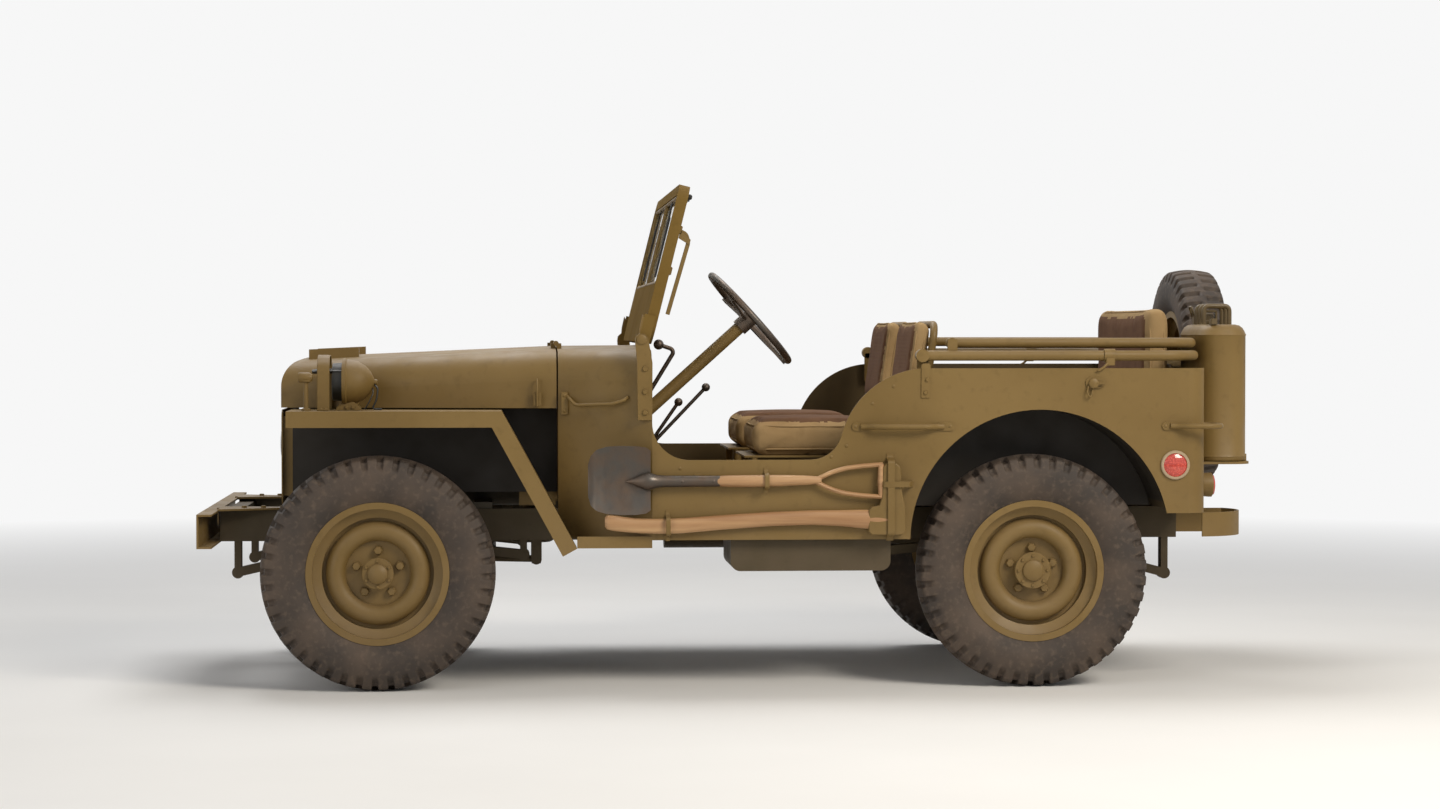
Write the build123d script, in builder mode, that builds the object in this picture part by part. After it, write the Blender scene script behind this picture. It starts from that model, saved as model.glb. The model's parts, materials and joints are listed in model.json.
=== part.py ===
"""A wartime army 4x4 car, open body, in millimetres.

Frame: X runs rearwards, Y to the right-hand side, Z up, as on a body draughtsman's grid.
The origin is on the ground, under the middle of the overall length, on the centre plane.
"""

import math
import os

from build123d import *

os.makedirs("parts", exist_ok=True)

# Driving sizes of the whole car
WHEELBASE = 2032.0
TRACK = 1245.0
FRONT_OVERHANG = 550.0
REAR_OVERHANG = 535.0  # rear axle to the rear panel's outer face
SPARE_OUT = 165.0  # rear panel's outer face to the spare wheel's centre plane
TYRE_W = 160.0
BODY_WIDTH = 1470.0
PANEL = 4.0  # pressed panel with its flanges
GAP = 5.0  # shut line between panels that move apart
FIT = 0.3  # seat between pieces that stay together

OVERALL_LENGTH = FRONT_OVERHANG + WHEELBASE + REAR_OVERHANG + SPARE_OUT + TYRE_W / 2
BUMPER_X = -OVERALL_LENGTH / 2
FRONT_AXLE_X = BUMPER_X + FRONT_OVERHANG
REAR_AXLE_X = FRONT_AXLE_X + WHEELBASE
REAR_X = REAR_AXLE_X + REAR_OVERHANG
SIDE_Y = BODY_WIDTH / 2

# Wheels and tyres
TYRE_R = 362.0
WHEEL_Y = TRACK / 2
RIM_FLANGE_R = 220.0
BEAD_R = 204.0
RIM_WELL_R = 176.0
RIM_HALF = 57.0  # wheel centre plane to the inside of a rim flange
RIM_SHEET = 4.0
DISC_SHEET = 6.0
BULGE_R = 130.0
BULGE_HALF = 30.0
BULGE_RISE = 38.0
DRUM_R = 128.0
SPINDLE_R = 20.0
SPINDLE_FIT = 0.05
HUB_R = 42.0
HUB_REACH = 46.0  # wheel centre plane to the hub's outer face
DRUM_BACK_Y = WHEEL_Y - 49.5  # the drum's open side, towards the car

# Ladder frame
RAIL_Y = 371.0  # outer face
RAIL_W = 50.0
RAIL_TOP = TYRE_R + 183.0
RAIL_H = 100.0
RAIL_SHEET = 5.0
RAIL_FRONT_X = BUMPER_X + 45.0
RAIL_REAR_X = REAR_X - 20.0
RAIL_BOTTOM = RAIL_TOP - RAIL_H

# Body levels
FLOOR_TOP = RAIL_TOP + 15.0
SILL_BOTTOM = FLOOR_TOP - 94.0
DOOR_BOTTOM = FLOOR_TOP + 152.0
BODY_TOP = FLOOR_TOP + 433.0
TAIL_BOTTOM = FLOOR_TOP - 17.0
CORNER_R = 60.0
DOOR_FRONT_X = FRONT_AXLE_X + 841.0
DOOR_FRONT_R = 115.0
QUARTER_X = REAR_AXLE_X - 341.0  # where the rear quarter reaches its full height
QUARTER_R = 275.0
DOOR_REAR_R = 100.0
ARCH_X = REAR_AXLE_X + 11.0
ARCH_Z = TYRE_R + 98.0
ARCH_R = 405.0
HOUSE_INNER_Y = 480.0

# Bonnet and scuttle
NOSE_X = FRONT_AXLE_X - 309.0
SCUTTLE_X = FRONT_AXLE_X + 556.0
SCUTTLE_HALF = 570.0
NOSE_HALF = 430.0
NOSE_TOP = FLOOR_TOP + 462.0
SCUTTLE_TOP = FLOOR_TOP + 500.0
CROWN = 12.0
SHOULDER_R = 92.0
NOSE_R = 90.0
GRILLE_BOTTOM = FLOOR_TOP
FENDER_TOP = FLOOR_TOP + 303.0
FENDER_FRONT_X = NOSE_X + 34.0
FENDER_KNEE_X = SCUTTLE_X - 176.0
FENDER_FOOT_X = SCUTTLE_X + 55.0
FENDER_FOOT_Z = SILL_BOTTOM - 25.0
FENDER_LIP = 50.0
APRON_Y = 400.0
APRON_BOTTOM = FLOOR_TOP + 40.0
HOOD_BOTTOM = FENDER_TOP + GAP
HINGE_X = SCUTTLE_X - GAP / 2
HINGE_Z = SCUTTLE_TOP + 9.0
HINGE_R = 8.0
HINGE_PIN_R = 4.0
HINGE_Y = 330.0
HINGE_HALF = 28.0
HINGE_LEG = 14.0

# Windscreen
SCREEN_PIVOT_X = DOOR_FRONT_X - 32.0
SCREEN_PIVOT_Z = SCUTTLE_TOP + 22.0
SCREEN_RAKE = 14.0
SCREEN_SET_BACK = 18.0  # pivot to the frame's middle plane
SCREEN_HALF = SIDE_Y - 30.0
SCREEN_HEIGHT = 500.0
SCREEN_DEPTH = 34.0
SCREEN_POST = 34.0
SCREEN_PANEL = 150.0
SCREEN_CORNER_R = 55.0
GLASS = 6.0

# Axles, springs and steering
AXLE_R = 38.0
DIFF_Y = 190.0
DIFF_R = 112.0
KINGPIN_Y = 505.0
KINGPIN_R = 14.0
SPRING_Y = 345.0
SPRING_W = 45.0
ARM_LENGTH = 150.0
ARM_LOW = TYRE_R - 10.0
ARM_HIGH = ARM_LOW + 12.0
ARM_HALF = 16.0
LINK_R = 11.0
BALL_R = 15.0
PIVOT_FIT = 0.5
TIE_Z = ARM_LOW - BALL_R - PIVOT_FIT
DRAG_Z = ARM_HIGH + BALL_R + PIVOT_FIT
CRANK_X = FRONT_AXLE_X + 130.0
CRANK_Y = -60.0
CRANK_ARM = 110.0
PITMAN_X = SCUTTLE_X - 65.0
PITMAN_Y = -312.0
PITMAN_HALF = 6.0
PITMAN_ARM = 150.0
PITMAN_Z = DRAG_Z + PITMAN_ARM
DRAG_END_Y = PITMAN_Y + PITMAN_HALF + 5.0 + BALL_R

# Steering wheel
COLUMN_ANGLE = 42.0  # above the horizontal
STEER_X = DOOR_FRONT_X + 331.0
STEER_Y = -345.0
STEER_Z = FLOOR_TOP + 589.0
STEER_R = 182.0
STEER_RIM = 11.0
COLUMN_SLOPE = math.tan(math.radians(COLUMN_ANGLE))
COLUMN_R = 20.0

# Seats
SEAT_Y = 348.0
SEAT_W = 435.0
SEAT_FRONT_X = DOOR_FRONT_X + 290.0
SEAT_LENGTH = 440.0
SEAT_PAN_TOP = FLOOR_TOP + 158.0
CUSHION_H = 108.0
BACK_THICK = 52.0
BACK_LEAN = 8.0
BACK_TOP = FLOOR_TOP + 582.0
BACK_BOTTOM = FLOOR_TOP + 295.0
SEAT_TUBE_R = 12.0
LEG_OUT = SEAT_W / 2 - SEAT_TUBE_R - 18.0
TIP_X = SEAT_FRONT_X + 40.0
TIP_Z = FLOOR_TOP + 22.0
TIP_PIN_R = 5.0
PAN_SHEET = 6.0
PAD_W = SEAT_W - 10.0

# Hood bows
BOW_R = 16.0
BOW_Y = SIDE_Y - 14.0
BOW_PIVOT_X = QUARTER_X - 15.0
BOW_LOW_Z = BODY_TOP + 39.0
BOW_HIGH_Z = BODY_TOP + 78.0
BOW_END_X = REAR_X - 20.0
BOW_HIGH_X = QUARTER_X + 80.0
BOW_HIGH_Y = BOW_Y - 38.0
BOW_CORNER_R = 120.0

# Spare wheel and fuel can
SPARE_Y = 300.0
SPARE_Z = BODY_TOP - 37.0
SPARE_X = REAR_X + SPARE_OUT
CAN_W = 345.0
CAN_D = 160.0
CAN_H = 500.0
CAN_GRIP_H = 68.0
CAN_Y = 315.0 - SIDE_Y
CAN_BOTTOM = BODY_TOP - 296.0


def save(shape, name):
    """Labels one finished piece and writes it as its own STEP file."""
    shape.label = name
    export_step(shape, f"parts/{name}.step")


def tube(points, bend, radius):
    """A round bar or tube along straight runs joined by arcs of one radius."""
    with BuildPart() as piece:
        if len(points) > 2:
            with BuildLine() as route:
                FilletPolyline(*points, radius=bend)
            with BuildSketch(Plane(route.line @ 0, z_dir=route.line % 0)):
                Circle(radius)
            sweep(path=route.line)
        else:
            start, end = Vector(*points[0]), Vector(*points[1])
            with Locations(Plane(origin=start, z_dir=end - start).location):
                Cylinder(radius, (end - start).length, align=(Align.CENTER, Align.CENTER, Align.MIN))
    return piece.part


def rod_y(x, z, y_low, y_high, radius):
    """A round bar that runs across the car."""
    return tube([(x, y_low, z), (x, y_high, z)], 0, radius)


def rod_x(x_low, x_high, y, z, radius):
    """A round bar that runs along the car."""
    return tube([(x_low, y, z), (x_high, y, z)], 0, radius)


# Tyre and wheel, made about their own centre with the outer side towards +Y
def tyre_blank():
    """The tyre: a turned ring with shoulder grooves between its lugs."""
    crown = TYRE_R
    half = TYRE_W / 2
    shoulder = crown - 8.0
    wall = crown - 27.0
    belly = crown - 77.0
    with BuildPart() as piece:
        with BuildSketch(Plane.XY) as section:
            with BuildLine():
                Polyline((BEAD_R + FIT, -RIM_HALF + FIT), (RIM_FLANGE_R, -RIM_HALF + FIT))
                ThreePointArc((RIM_FLANGE_R, -RIM_HALF + FIT), (belly, -half), (wall, -half + 10.0))
                Line((wall, -half + 10.0), (shoulder, -half + 17.0))
                Line((shoulder, -half + 17.0), (crown, -half + 30.0))
                Line((crown, -half + 30.0), (crown, half - 30.0))
                Line((crown, half - 30.0), (shoulder, half - 17.0))
                Line((shoulder, half - 17.0), (wall, half - 10.0))
                ThreePointArc((wall, half - 10.0), (belly, half), (RIM_FLANGE_R, RIM_HALF - FIT))
                Polyline((RIM_FLANGE_R, RIM_HALF - FIT), (BEAD_R + FIT, RIM_HALF - FIT))
                Line((BEAD_R + FIT, RIM_HALF - FIT), (BEAD_R + FIT, -RIM_HALF + FIT))
            make_face()
        revolve(axis=Axis.Y)
    return piece.part


def wheel_blank(hub_reach, cap_r, cap_reach):
    """The pressed wheel, its brake drum and hub, as one turned piece about +Y."""
    back = DRUM_BACK_Y - WHEEL_Y
    bore = SPINDLE_R + SPINDLE_FIT
    well = RIM_WELL_R
    with BuildPart() as piece:
        with BuildSketch(Plane.XY):
            with BuildLine():
                Polyline(
                    (RIM_FLANGE_R, -RIM_HALF - RIM_SHEET),
                    (RIM_FLANGE_R, -RIM_HALF),
                    (BEAD_R, -RIM_HALF),
                    (BEAD_R, -RIM_HALF + 22.0),
                    (well, -RIM_HALF + 34.0),
                    (well, RIM_HALF - 34.0),
                    (BEAD_R, RIM_HALF - 22.0),
                    (BEAD_R, RIM_HALF),
                    (RIM_FLANGE_R, RIM_HALF),
                    (RIM_FLANGE_R, RIM_HALF + RIM_SHEET),
                    (BEAD_R - RIM_SHEET, RIM_HALF + RIM_SHEET),
                    (BEAD_R - RIM_SHEET, RIM_HALF - 20.0),
                    (well - RIM_SHEET, RIM_HALF - 32.0),
                    (well - RIM_SHEET, -RIM_HALF + 32.0),
                    (BEAD_R - RIM_SHEET, -RIM_HALF + 20.0),
                    (BEAD_R - RIM_SHEET, -RIM_HALF - RIM_SHEET),
                    close=True,
                )
            make_face()
        revolve(axis=Axis.Y)
        with BuildSketch(Plane.XY):
            with BuildLine():
                inner, outer = BULGE_R - BULGE_HALF, BULGE_R + BULGE_HALF
                Line((well - RIM_SHEET / 2, 0), (outer, 0))
                ThreePointArc((outer, 0), (BULGE_R, BULGE_RISE), (inner, 0))
                Line((inner, 0), (HUB_R - 4.0, 0))
                Line((HUB_R - 4.0, 0), (HUB_R - 4.0, -DISC_SHEET))
                Line((HUB_R - 4.0, -DISC_SHEET), (inner + DISC_SHEET, -DISC_SHEET))
                ThreePointArc(
                    (inner + DISC_SHEET, -DISC_SHEET),
                    (BULGE_R, BULGE_RISE - DISC_SHEET),
                    (outer - DISC_SHEET, -DISC_SHEET),
                )
                Line((outer - DISC_SHEET, -DISC_SHEET), (well - RIM_SHEET / 2, -DISC_SHEET))
                Line((well - RIM_SHEET / 2, -DISC_SHEET), (well - RIM_SHEET / 2, 0))
            make_face()
        revolve(axis=Axis.Y)
        with BuildSketch(Plane.XY):
            with BuildLine():
                Polyline(
                    (bore, back),
                    (DRUM_R, back),
                    (DRUM_R, -14.0),
                    (BULGE_R - BULGE_HALF - 8.0, -DISC_SHEET + 2.0),
                    (HUB_R + 4.0, -DISC_SHEET + 2.0),
                    (HUB_R + 4.0, 6.0),
                    (HUB_R, 6.0),
                    (HUB_R, hub_reach),
                    (cap_r, hub_reach),
                    (cap_r, cap_reach),
                    (0, cap_reach),
                    (0, hub_reach - 12.0),
                    (bore, hub_reach - 12.0),
                    close=True,
                )
            make_face()
        revolve(axis=Axis.Y)
    return piece.part


# Each wheel's name, its axle, its side of the car and its hub's reach, cap radius and cap reach
WHEELS = [
    ("front_left", FRONT_AXLE_X, -1, HUB_REACH, 25.0, 62.0),
    ("front_right", FRONT_AXLE_X, 1, HUB_REACH, 25.0, 62.0),
    ("rear_left", REAR_AXLE_X, -1, 38.0, 24.0, 52.0),
    ("rear_right", REAR_AXLE_X, 1, 38.0, 24.0, 52.0),
]

TYRE = tyre_blank()
for name, axle_x, side, reach, cap_r, cap_reach in WHEELS:
    turn = 180 if side < 0 else 0
    place = Location((axle_x, side * WHEEL_Y, TYRE_R), (0, 0, turn))
    with BuildPart() as tyre:
        add(TYRE.moved(place))
    save(tyre.part, f"tyre_{name}")
    with BuildPart() as wheel:
        add(wheel_blank(reach, cap_r, cap_reach).moved(place))
    save(wheel.part, f"wheel_{name}")

# Ladder frame: two channel rails, tied by cross members
CROSS_MEMBERS = [
    # x, half length along X, depth below the rail's top, height
    (RAIL_FRONT_X + 30.0, 25.0, 10.0, 80.0),
    (NOSE_X + 90.0, 40.0, 20.0, 60.0),
    (DOOR_FRONT_X - 60.0, 35.0, 85.0, 15.0),
    (SEAT_FRONT_X + 60.0, 35.0, 5.0, 40.0),
    (QUARTER_X, 30.0, 5.0, 40.0),
    (REAR_AXLE_X + 229.0, 30.0, 5.0, 40.0),
    (RAIL_REAR_X - 30.0, 30.0, 5.0, 90.0),
]
with BuildPart() as frame:
    with BuildSketch(Plane.YZ.offset(RAIL_FRONT_X)):
        with Locations((-RAIL_Y + RAIL_W / 2, RAIL_TOP - RAIL_H / 2)):
            Rectangle(RAIL_W, RAIL_H)
        with Locations((-RAIL_Y + RAIL_W / 2 + RAIL_SHEET, RAIL_TOP - RAIL_H / 2)):
            Rectangle(RAIL_W, RAIL_H - 2 * RAIL_SHEET, mode=Mode.SUBTRACT)
    extrude(amount=RAIL_REAR_X - RAIL_FRONT_X)
    mirror(about=Plane.XZ)
    for x, half, drop, height in CROSS_MEMBERS:
        with Locations((x, 0, RAIL_TOP - drop - height / 2)):
            Box(2 * half, 2 * RAIL_Y - 2 * RAIL_SHEET, height)
save(frame.part, "frame")

# Front bumper: a channel across both rails, with gusset plates on the rails
BUMPER_HALF = 686.0
BUMPER_TOP = RAIL_TOP + 2.0
BUMPER_H = 105.0
BUMPER_DEPTH = 45.0
BUMPER_SHEET = 6.0
CRANK_HOLE_R = 22.0
with BuildPart() as front_bumper:
    with BuildSketch(Plane.XZ.offset(-BUMPER_HALF)):
        with Locations((BUMPER_X + BUMPER_DEPTH / 2, BUMPER_TOP - BUMPER_H / 2)):
            Rectangle(BUMPER_DEPTH, BUMPER_H)
        with Locations((BUMPER_X + BUMPER_DEPTH / 2 + BUMPER_SHEET, BUMPER_TOP - BUMPER_H / 2)):
            Rectangle(BUMPER_DEPTH, BUMPER_H - 2 * BUMPER_SHEET, mode=Mode.SUBTRACT)
    extrude(amount=2 * BUMPER_HALF)
    with BuildSketch(Plane.XY.offset(RAIL_TOP)):
        with BuildLine():
            Polyline(
                (BUMPER_X + BUMPER_DEPTH, -RAIL_Y - 90.0),
                (BUMPER_X + BUMPER_DEPTH, -RAIL_Y + RAIL_W + 40.0),
                (BUMPER_X + 260.0, -RAIL_Y + RAIL_W),
                (BUMPER_X + 260.0, -RAIL_Y),
                close=True,
            )
        make_face()
        mirror(about=Plane.XZ)
    extrude(amount=BUMPER_SHEET)
    with BuildSketch(Plane.XY.offset(RAIL_TOP)):
        with Locations(
            (BUMPER_X + BUMPER_DEPTH, -RAIL_Y + RAIL_W / 2),
            (BUMPER_X + BUMPER_DEPTH, RAIL_Y - RAIL_W / 2),
        ):
            Rectangle(20.0, RAIL_W)
    extrude(amount=BUMPER_SHEET)
    with Locations((BUMPER_X, 0, BUMPER_TOP - BUMPER_H / 2)):
        Cylinder(CRANK_HOLE_R, 40.0, rotation=(0, 90, 0), mode=Mode.SUBTRACT)
save(front_bumper.part, "front_bumper")

# Rear bumpers: a curved strap at each side of the tail
BUMPERETTE_H = 76.0
BUMPERETTE_SHEET = 6.0
BUMPERETTE_Y = -RAIL_Y + 10.0
BUMPERETTE_REACH = 150.0
with BuildPart() as rear_bumpers:
    with BuildSketch(Plane.XY.offset(TAIL_BOTTOM - GAP - BUMPERETTE_H)):
        with BuildLine() as bend:
            bend_x = RAIL_REAR_X + BUMPERETTE_REACH
            Line((RAIL_REAR_X + FIT, BUMPERETTE_Y), (bend_x, BUMPERETTE_Y))
            ThreePointArc(
                (bend_x, BUMPERETTE_Y),
                (bend_x + 26.0, BUMPERETTE_Y - 90.0),
                (bend_x - 120.0, BUMPERETTE_Y - 250.0),
            )
            offset(amount=BUMPERETTE_SHEET, side=Side.LEFT)
        make_face()
        mirror(about=Plane.XZ)
    extrude(amount=BUMPERETTE_H)
save(rear_bumpers.part, "rear_bumpers")

# Body floor: a flat pan with notches for the wheel boxes, a toe board and a gearbox tunnel
TOE_X = DOOR_FRONT_X - 140.0
TUNNEL_HALF = 130.0
TUNNEL_TOP = FLOOR_TOP + 130.0
TUNNEL_BEND_X = TOE_X + 30.0
TUNNEL_BEND_Z = TUNNEL_TOP - 20.0
TUNNEL_REAR_X = DOOR_FRONT_X + 40.0
TOE_RISE = 120.0


def scuttle_half(x):
    """Half width of the scuttle's outer face at a station along the car."""
    share = (x - SCUTTLE_X) / (DOOR_FRONT_X - SCUTTLE_X)
    return SCUTTLE_HALF + share * (SIDE_Y - SCUTTLE_HALF)


FLOOR_EDGE = PANEL + FIT + 3.0
with BuildPart() as floor:
    with BuildSketch(Plane.XY.offset(FLOOR_TOP - PANEL)):
        with BuildLine():
            front_y = scuttle_half(TOE_X) - FLOOR_EDGE
            house_x = (ARCH_X - ARCH_R - PANEL - FIT, ARCH_X + ARCH_R + PANEL + FIT)
            Polyline(
                (TOE_X, 0),
                (TOE_X, front_y),
                (DOOR_FRONT_X, SIDE_Y - FLOOR_EDGE),
                (house_x[0], SIDE_Y - FLOOR_EDGE),
                (house_x[0], HOUSE_INNER_Y - PANEL - FIT),
                (house_x[1], HOUSE_INNER_Y - PANEL - FIT),
                (house_x[1], SIDE_Y - CORNER_R),
                (REAR_X - PANEL - FIT, SIDE_Y - CORNER_R),
                (REAR_X - PANEL - FIT, 0),
                close=True,
            )
        make_face()
        mirror(about=Plane.XZ)
        with Locations(((TOE_X + TUNNEL_REAR_X) / 2, 0)):
            Rectangle(
                TUNNEL_REAR_X - TOE_X, 2 * (TUNNEL_HALF - PANEL), mode=Mode.SUBTRACT
            )
    extrude(amount=PANEL)
    with BuildSketch(Plane.XZ.offset(-TUNNEL_HALF)):
        with BuildLine():
            Polyline(
                (SCUTTLE_X + PANEL + FIT, FLOOR_TOP - PANEL),
                (SCUTTLE_X + PANEL + FIT, TUNNEL_TOP),
                (TUNNEL_BEND_X, TUNNEL_BEND_Z),
                (TUNNEL_REAR_X, FLOOR_TOP),
                (TUNNEL_REAR_X, FLOOR_TOP - PANEL),
                close=True,
            )
        make_face()
    extrude(amount=2 * TUNNEL_HALF)
    with BuildSketch(Plane.XZ.offset(-TUNNEL_HALF + PANEL)):
        with BuildLine():
            Polyline(
                (SCUTTLE_X, FLOOR_TOP - 2 * PANEL),
                (SCUTTLE_X, TUNNEL_TOP - PANEL),
                (TUNNEL_BEND_X - 2.0, TUNNEL_BEND_Z - PANEL),
                (TUNNEL_REAR_X - 9.0, FLOOR_TOP - PANEL),
                (TUNNEL_REAR_X - 9.0, FLOOR_TOP - 2 * PANEL),
                close=True,
            )
        make_face()
    extrude(amount=2 * (TUNNEL_HALF - PANEL), mode=Mode.SUBTRACT)
    for side in (-1, 1):
        with BuildSketch(Plane.XZ.offset(-side * TUNNEL_HALF)):
            with BuildLine():
                Polyline(
                    (TOE_X, FLOOR_TOP),
                    (TOE_X, FLOOR_TOP - PANEL),
                    (SCUTTLE_X + PANEL + FIT, FLOOR_TOP + TOE_RISE - PANEL),
                    (SCUTTLE_X + PANEL + FIT, FLOOR_TOP + TOE_RISE),
                    close=True,
                )
            make_face()
        toe_width = scuttle_half(SCUTTLE_X) - FLOOR_EDGE - TUNNEL_HALF
        extrude(amount=-side * toe_width)
    hole_x = TOE_X - 90.0
    with Locations((hole_x, STEER_Y, STEER_Z + (hole_x - STEER_X) * COLUMN_SLOPE)):
        Box(90.0, 70.0, 90.0, mode=Mode.SUBTRACT)
    for side in (-1, 1):
        leg_y = SEAT_Y + side * LEG_OUT
        ear_y = leg_y - side * (SEAT_TUBE_R + FIT + 4.0)
        with Locations((TIP_X, ear_y, (FLOOR_TOP - 1.0 + TIP_Z + 12.0) / 2)):
            Box(24.0, 8.0, TIP_Z + 13.0 - FLOOR_TOP)
        ends = sorted((ear_y, leg_y + side * (SEAT_TUBE_R + 3.0)))
        add(rod_y(TIP_X, TIP_Z, ends[0], ends[1], TIP_PIN_R))
save(floor.part, "floor")

# Body sides: each is bent round its rear corner and cut to the door and wheel arch
quarter_z = BODY_TOP - QUARTER_R
door_z = DOOR_BOTTOM + DOOR_REAR_R
door_x = QUARTER_X - math.sqrt((QUARTER_R + DOOR_REAR_R) ** 2 - (door_z - quarter_z) ** 2)
share = QUARTER_R / (QUARTER_R + DOOR_REAR_R)
meet = (QUARTER_X + (door_x - QUARTER_X) * share, quarter_z + (door_z - quarter_z) * share)
meet_angle = math.atan2(meet[1] - quarter_z, meet[0] - QUARTER_X)
mid_angle = (math.pi / 2 + meet_angle) / 2
quarter_mid = (
    QUARTER_X + QUARTER_R * math.cos(mid_angle),
    quarter_z + QUARTER_R * math.sin(mid_angle),
)
door_mid_angle = (math.atan2(meet[1] - door_z, meet[0] - door_x) - math.pi / 2) / 2
door_mid = (
    door_x + DOOR_REAR_R * math.cos(door_mid_angle),
    door_z + DOOR_REAR_R * math.sin(door_mid_angle),
)
arch_rear_angle = math.asin((TAIL_BOTTOM - ARCH_Z) / ARCH_R)
arch_front_angle = math.pi - math.asin((SILL_BOTTOM - ARCH_Z) / ARCH_R)


def arch_point(angle, radius=ARCH_R):
    """A point of the rear wheel arch, by its angle from straight back."""
    return (ARCH_X + radius * math.cos(angle), ARCH_Z + radius * math.sin(angle))


with BuildPart() as side_left:
    with BuildSketch(Plane.XY.offset(SILL_BOTTOM)):
        with BuildLine():
            Line((DOOR_FRONT_X, -SIDE_Y), (REAR_X - CORNER_R, -SIDE_Y))
            RadiusArc((REAR_X - CORNER_R, -SIDE_Y), (REAR_X, -SIDE_Y + CORNER_R), -CORNER_R)
            Line((REAR_X, -SIDE_Y + CORNER_R), (REAR_X - PANEL, -SIDE_Y + CORNER_R))
            RadiusArc(
                (REAR_X - PANEL, -SIDE_Y + CORNER_R),
                (REAR_X - CORNER_R, -SIDE_Y + PANEL),
                CORNER_R - PANEL,
            )
            Line((REAR_X - CORNER_R, -SIDE_Y + PANEL), (DOOR_FRONT_X, -SIDE_Y + PANEL))
            Line((DOOR_FRONT_X, -SIDE_Y + PANEL), (DOOR_FRONT_X, -SIDE_Y))
        make_face()
    extrude(amount=BODY_TOP - SILL_BOTTOM)
    with BuildSketch(Plane.XZ):
        with BuildLine():
            Line((DOOR_FRONT_X, SILL_BOTTOM), (DOOR_FRONT_X, DOOR_BOTTOM + DOOR_FRONT_R))
            CenterArc(
                (DOOR_FRONT_X + DOOR_FRONT_R, DOOR_BOTTOM + DOOR_FRONT_R),
                DOOR_FRONT_R,
                180,
                90,
            )
            Line((DOOR_FRONT_X + DOOR_FRONT_R, DOOR_BOTTOM), (door_x, DOOR_BOTTOM))
            ThreePointArc((door_x, DOOR_BOTTOM), door_mid, meet)
            ThreePointArc(meet, quarter_mid, (QUARTER_X, BODY_TOP))
            Line((QUARTER_X, BODY_TOP), (REAR_X, BODY_TOP))
            Line((REAR_X, BODY_TOP), (REAR_X, TAIL_BOTTOM))
            Line((REAR_X, TAIL_BOTTOM), arch_point(arch_rear_angle))
            ThreePointArc(
                arch_point(arch_rear_angle), arch_point(math.pi / 2), arch_point(arch_front_angle)
            )
            Line(arch_point(arch_front_angle), (DOOR_FRONT_X, SILL_BOTTOM))
        make_face()
    extrude(amount=BODY_WIDTH, both=True, mode=Mode.INTERSECT)
save(side_left.part, "side_left")

with BuildPart() as side_right:
    mirror(side_left.part, about=Plane.XZ)
save(side_right.part, "side_right")

# Rear panel, between the two rounded corners
with BuildPart() as rear_panel:
    with Locations((REAR_X - PANEL / 2, 0, (TAIL_BOTTOM + BODY_TOP) / 2)):
        Box(PANEL, BODY_WIDTH - 2 * CORNER_R - 2 * FIT, BODY_TOP - TAIL_BOTTOM)
save(rear_panel.part, "rear_panel")

# Wheel boxes inside the body, one over each rear wheel
with BuildPart() as wheel_boxes:
    house_low = FLOOR_TOP - PANEL
    angle_low = math.asin((house_low - ARCH_Z) / (ARCH_R + PANEL))
    with BuildSketch(Plane.XZ.offset(HOUSE_INNER_Y)):
        with BuildLine():
            ThreePointArc(
                arch_point(angle_low, ARCH_R + PANEL),
                arch_point(math.pi / 2, ARCH_R + PANEL),
                arch_point(math.pi - angle_low, ARCH_R + PANEL),
            )
            Line(
                arch_point(math.pi - angle_low, ARCH_R + PANEL),
                arch_point(angle_low, ARCH_R + PANEL),
            )
        make_face()
    extrude(amount=SIDE_Y - PANEL - FIT - HOUSE_INNER_Y)
    with BuildSketch(Plane.XZ.offset(HOUSE_INNER_Y + PANEL)):
        with Locations((ARCH_X, ARCH_Z)):
            Circle(ARCH_R)
    extrude(amount=SIDE_Y, mode=Mode.SUBTRACT)
    mirror(about=Plane.XZ)
save(wheel_boxes.part, "wheel_boxes")


def hoop_section(half, top, bottom, shoulder, crown):
    """Draws a bonnet-like cross section: upright sides, rounded shoulders and a crowned top."""
    with BuildLine() as outline:
        Line((-half, bottom), (-half, top - crown - shoulder))
        RadiusArc((-half, top - crown - shoulder), (-half + shoulder, top - crown), shoulder)
        ThreePointArc((-half + shoulder, top - crown), (0, top), (half - shoulder, top - crown))
        RadiusArc((half - shoulder, top - crown), (half, top - crown - shoulder), shoulder)
        Line((half, top - crown - shoulder), (half, bottom))
        Line((half, bottom), (-half, bottom))
    with BuildSketch() as face:
        add(outline.line)
        make_face()
    return face.sketch


def hoop_loft(x_front, x_rear, half_front, half_rear, top_front, top_rear, bottom, inset=0.0):
    """A tapering hood between two cross sections, drawn in by an inset for its inside."""
    with BuildPart() as piece:
        for x, half, top in ((x_front, half_front, top_front), (x_rear, half_rear, top_rear)):
            with BuildSketch(Plane.YZ.offset(x)):
                add(hoop_section(half - inset, top - inset, bottom, SHOULDER_R - inset, CROWN))
        loft(ruled=True)
    return piece.part


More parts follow.
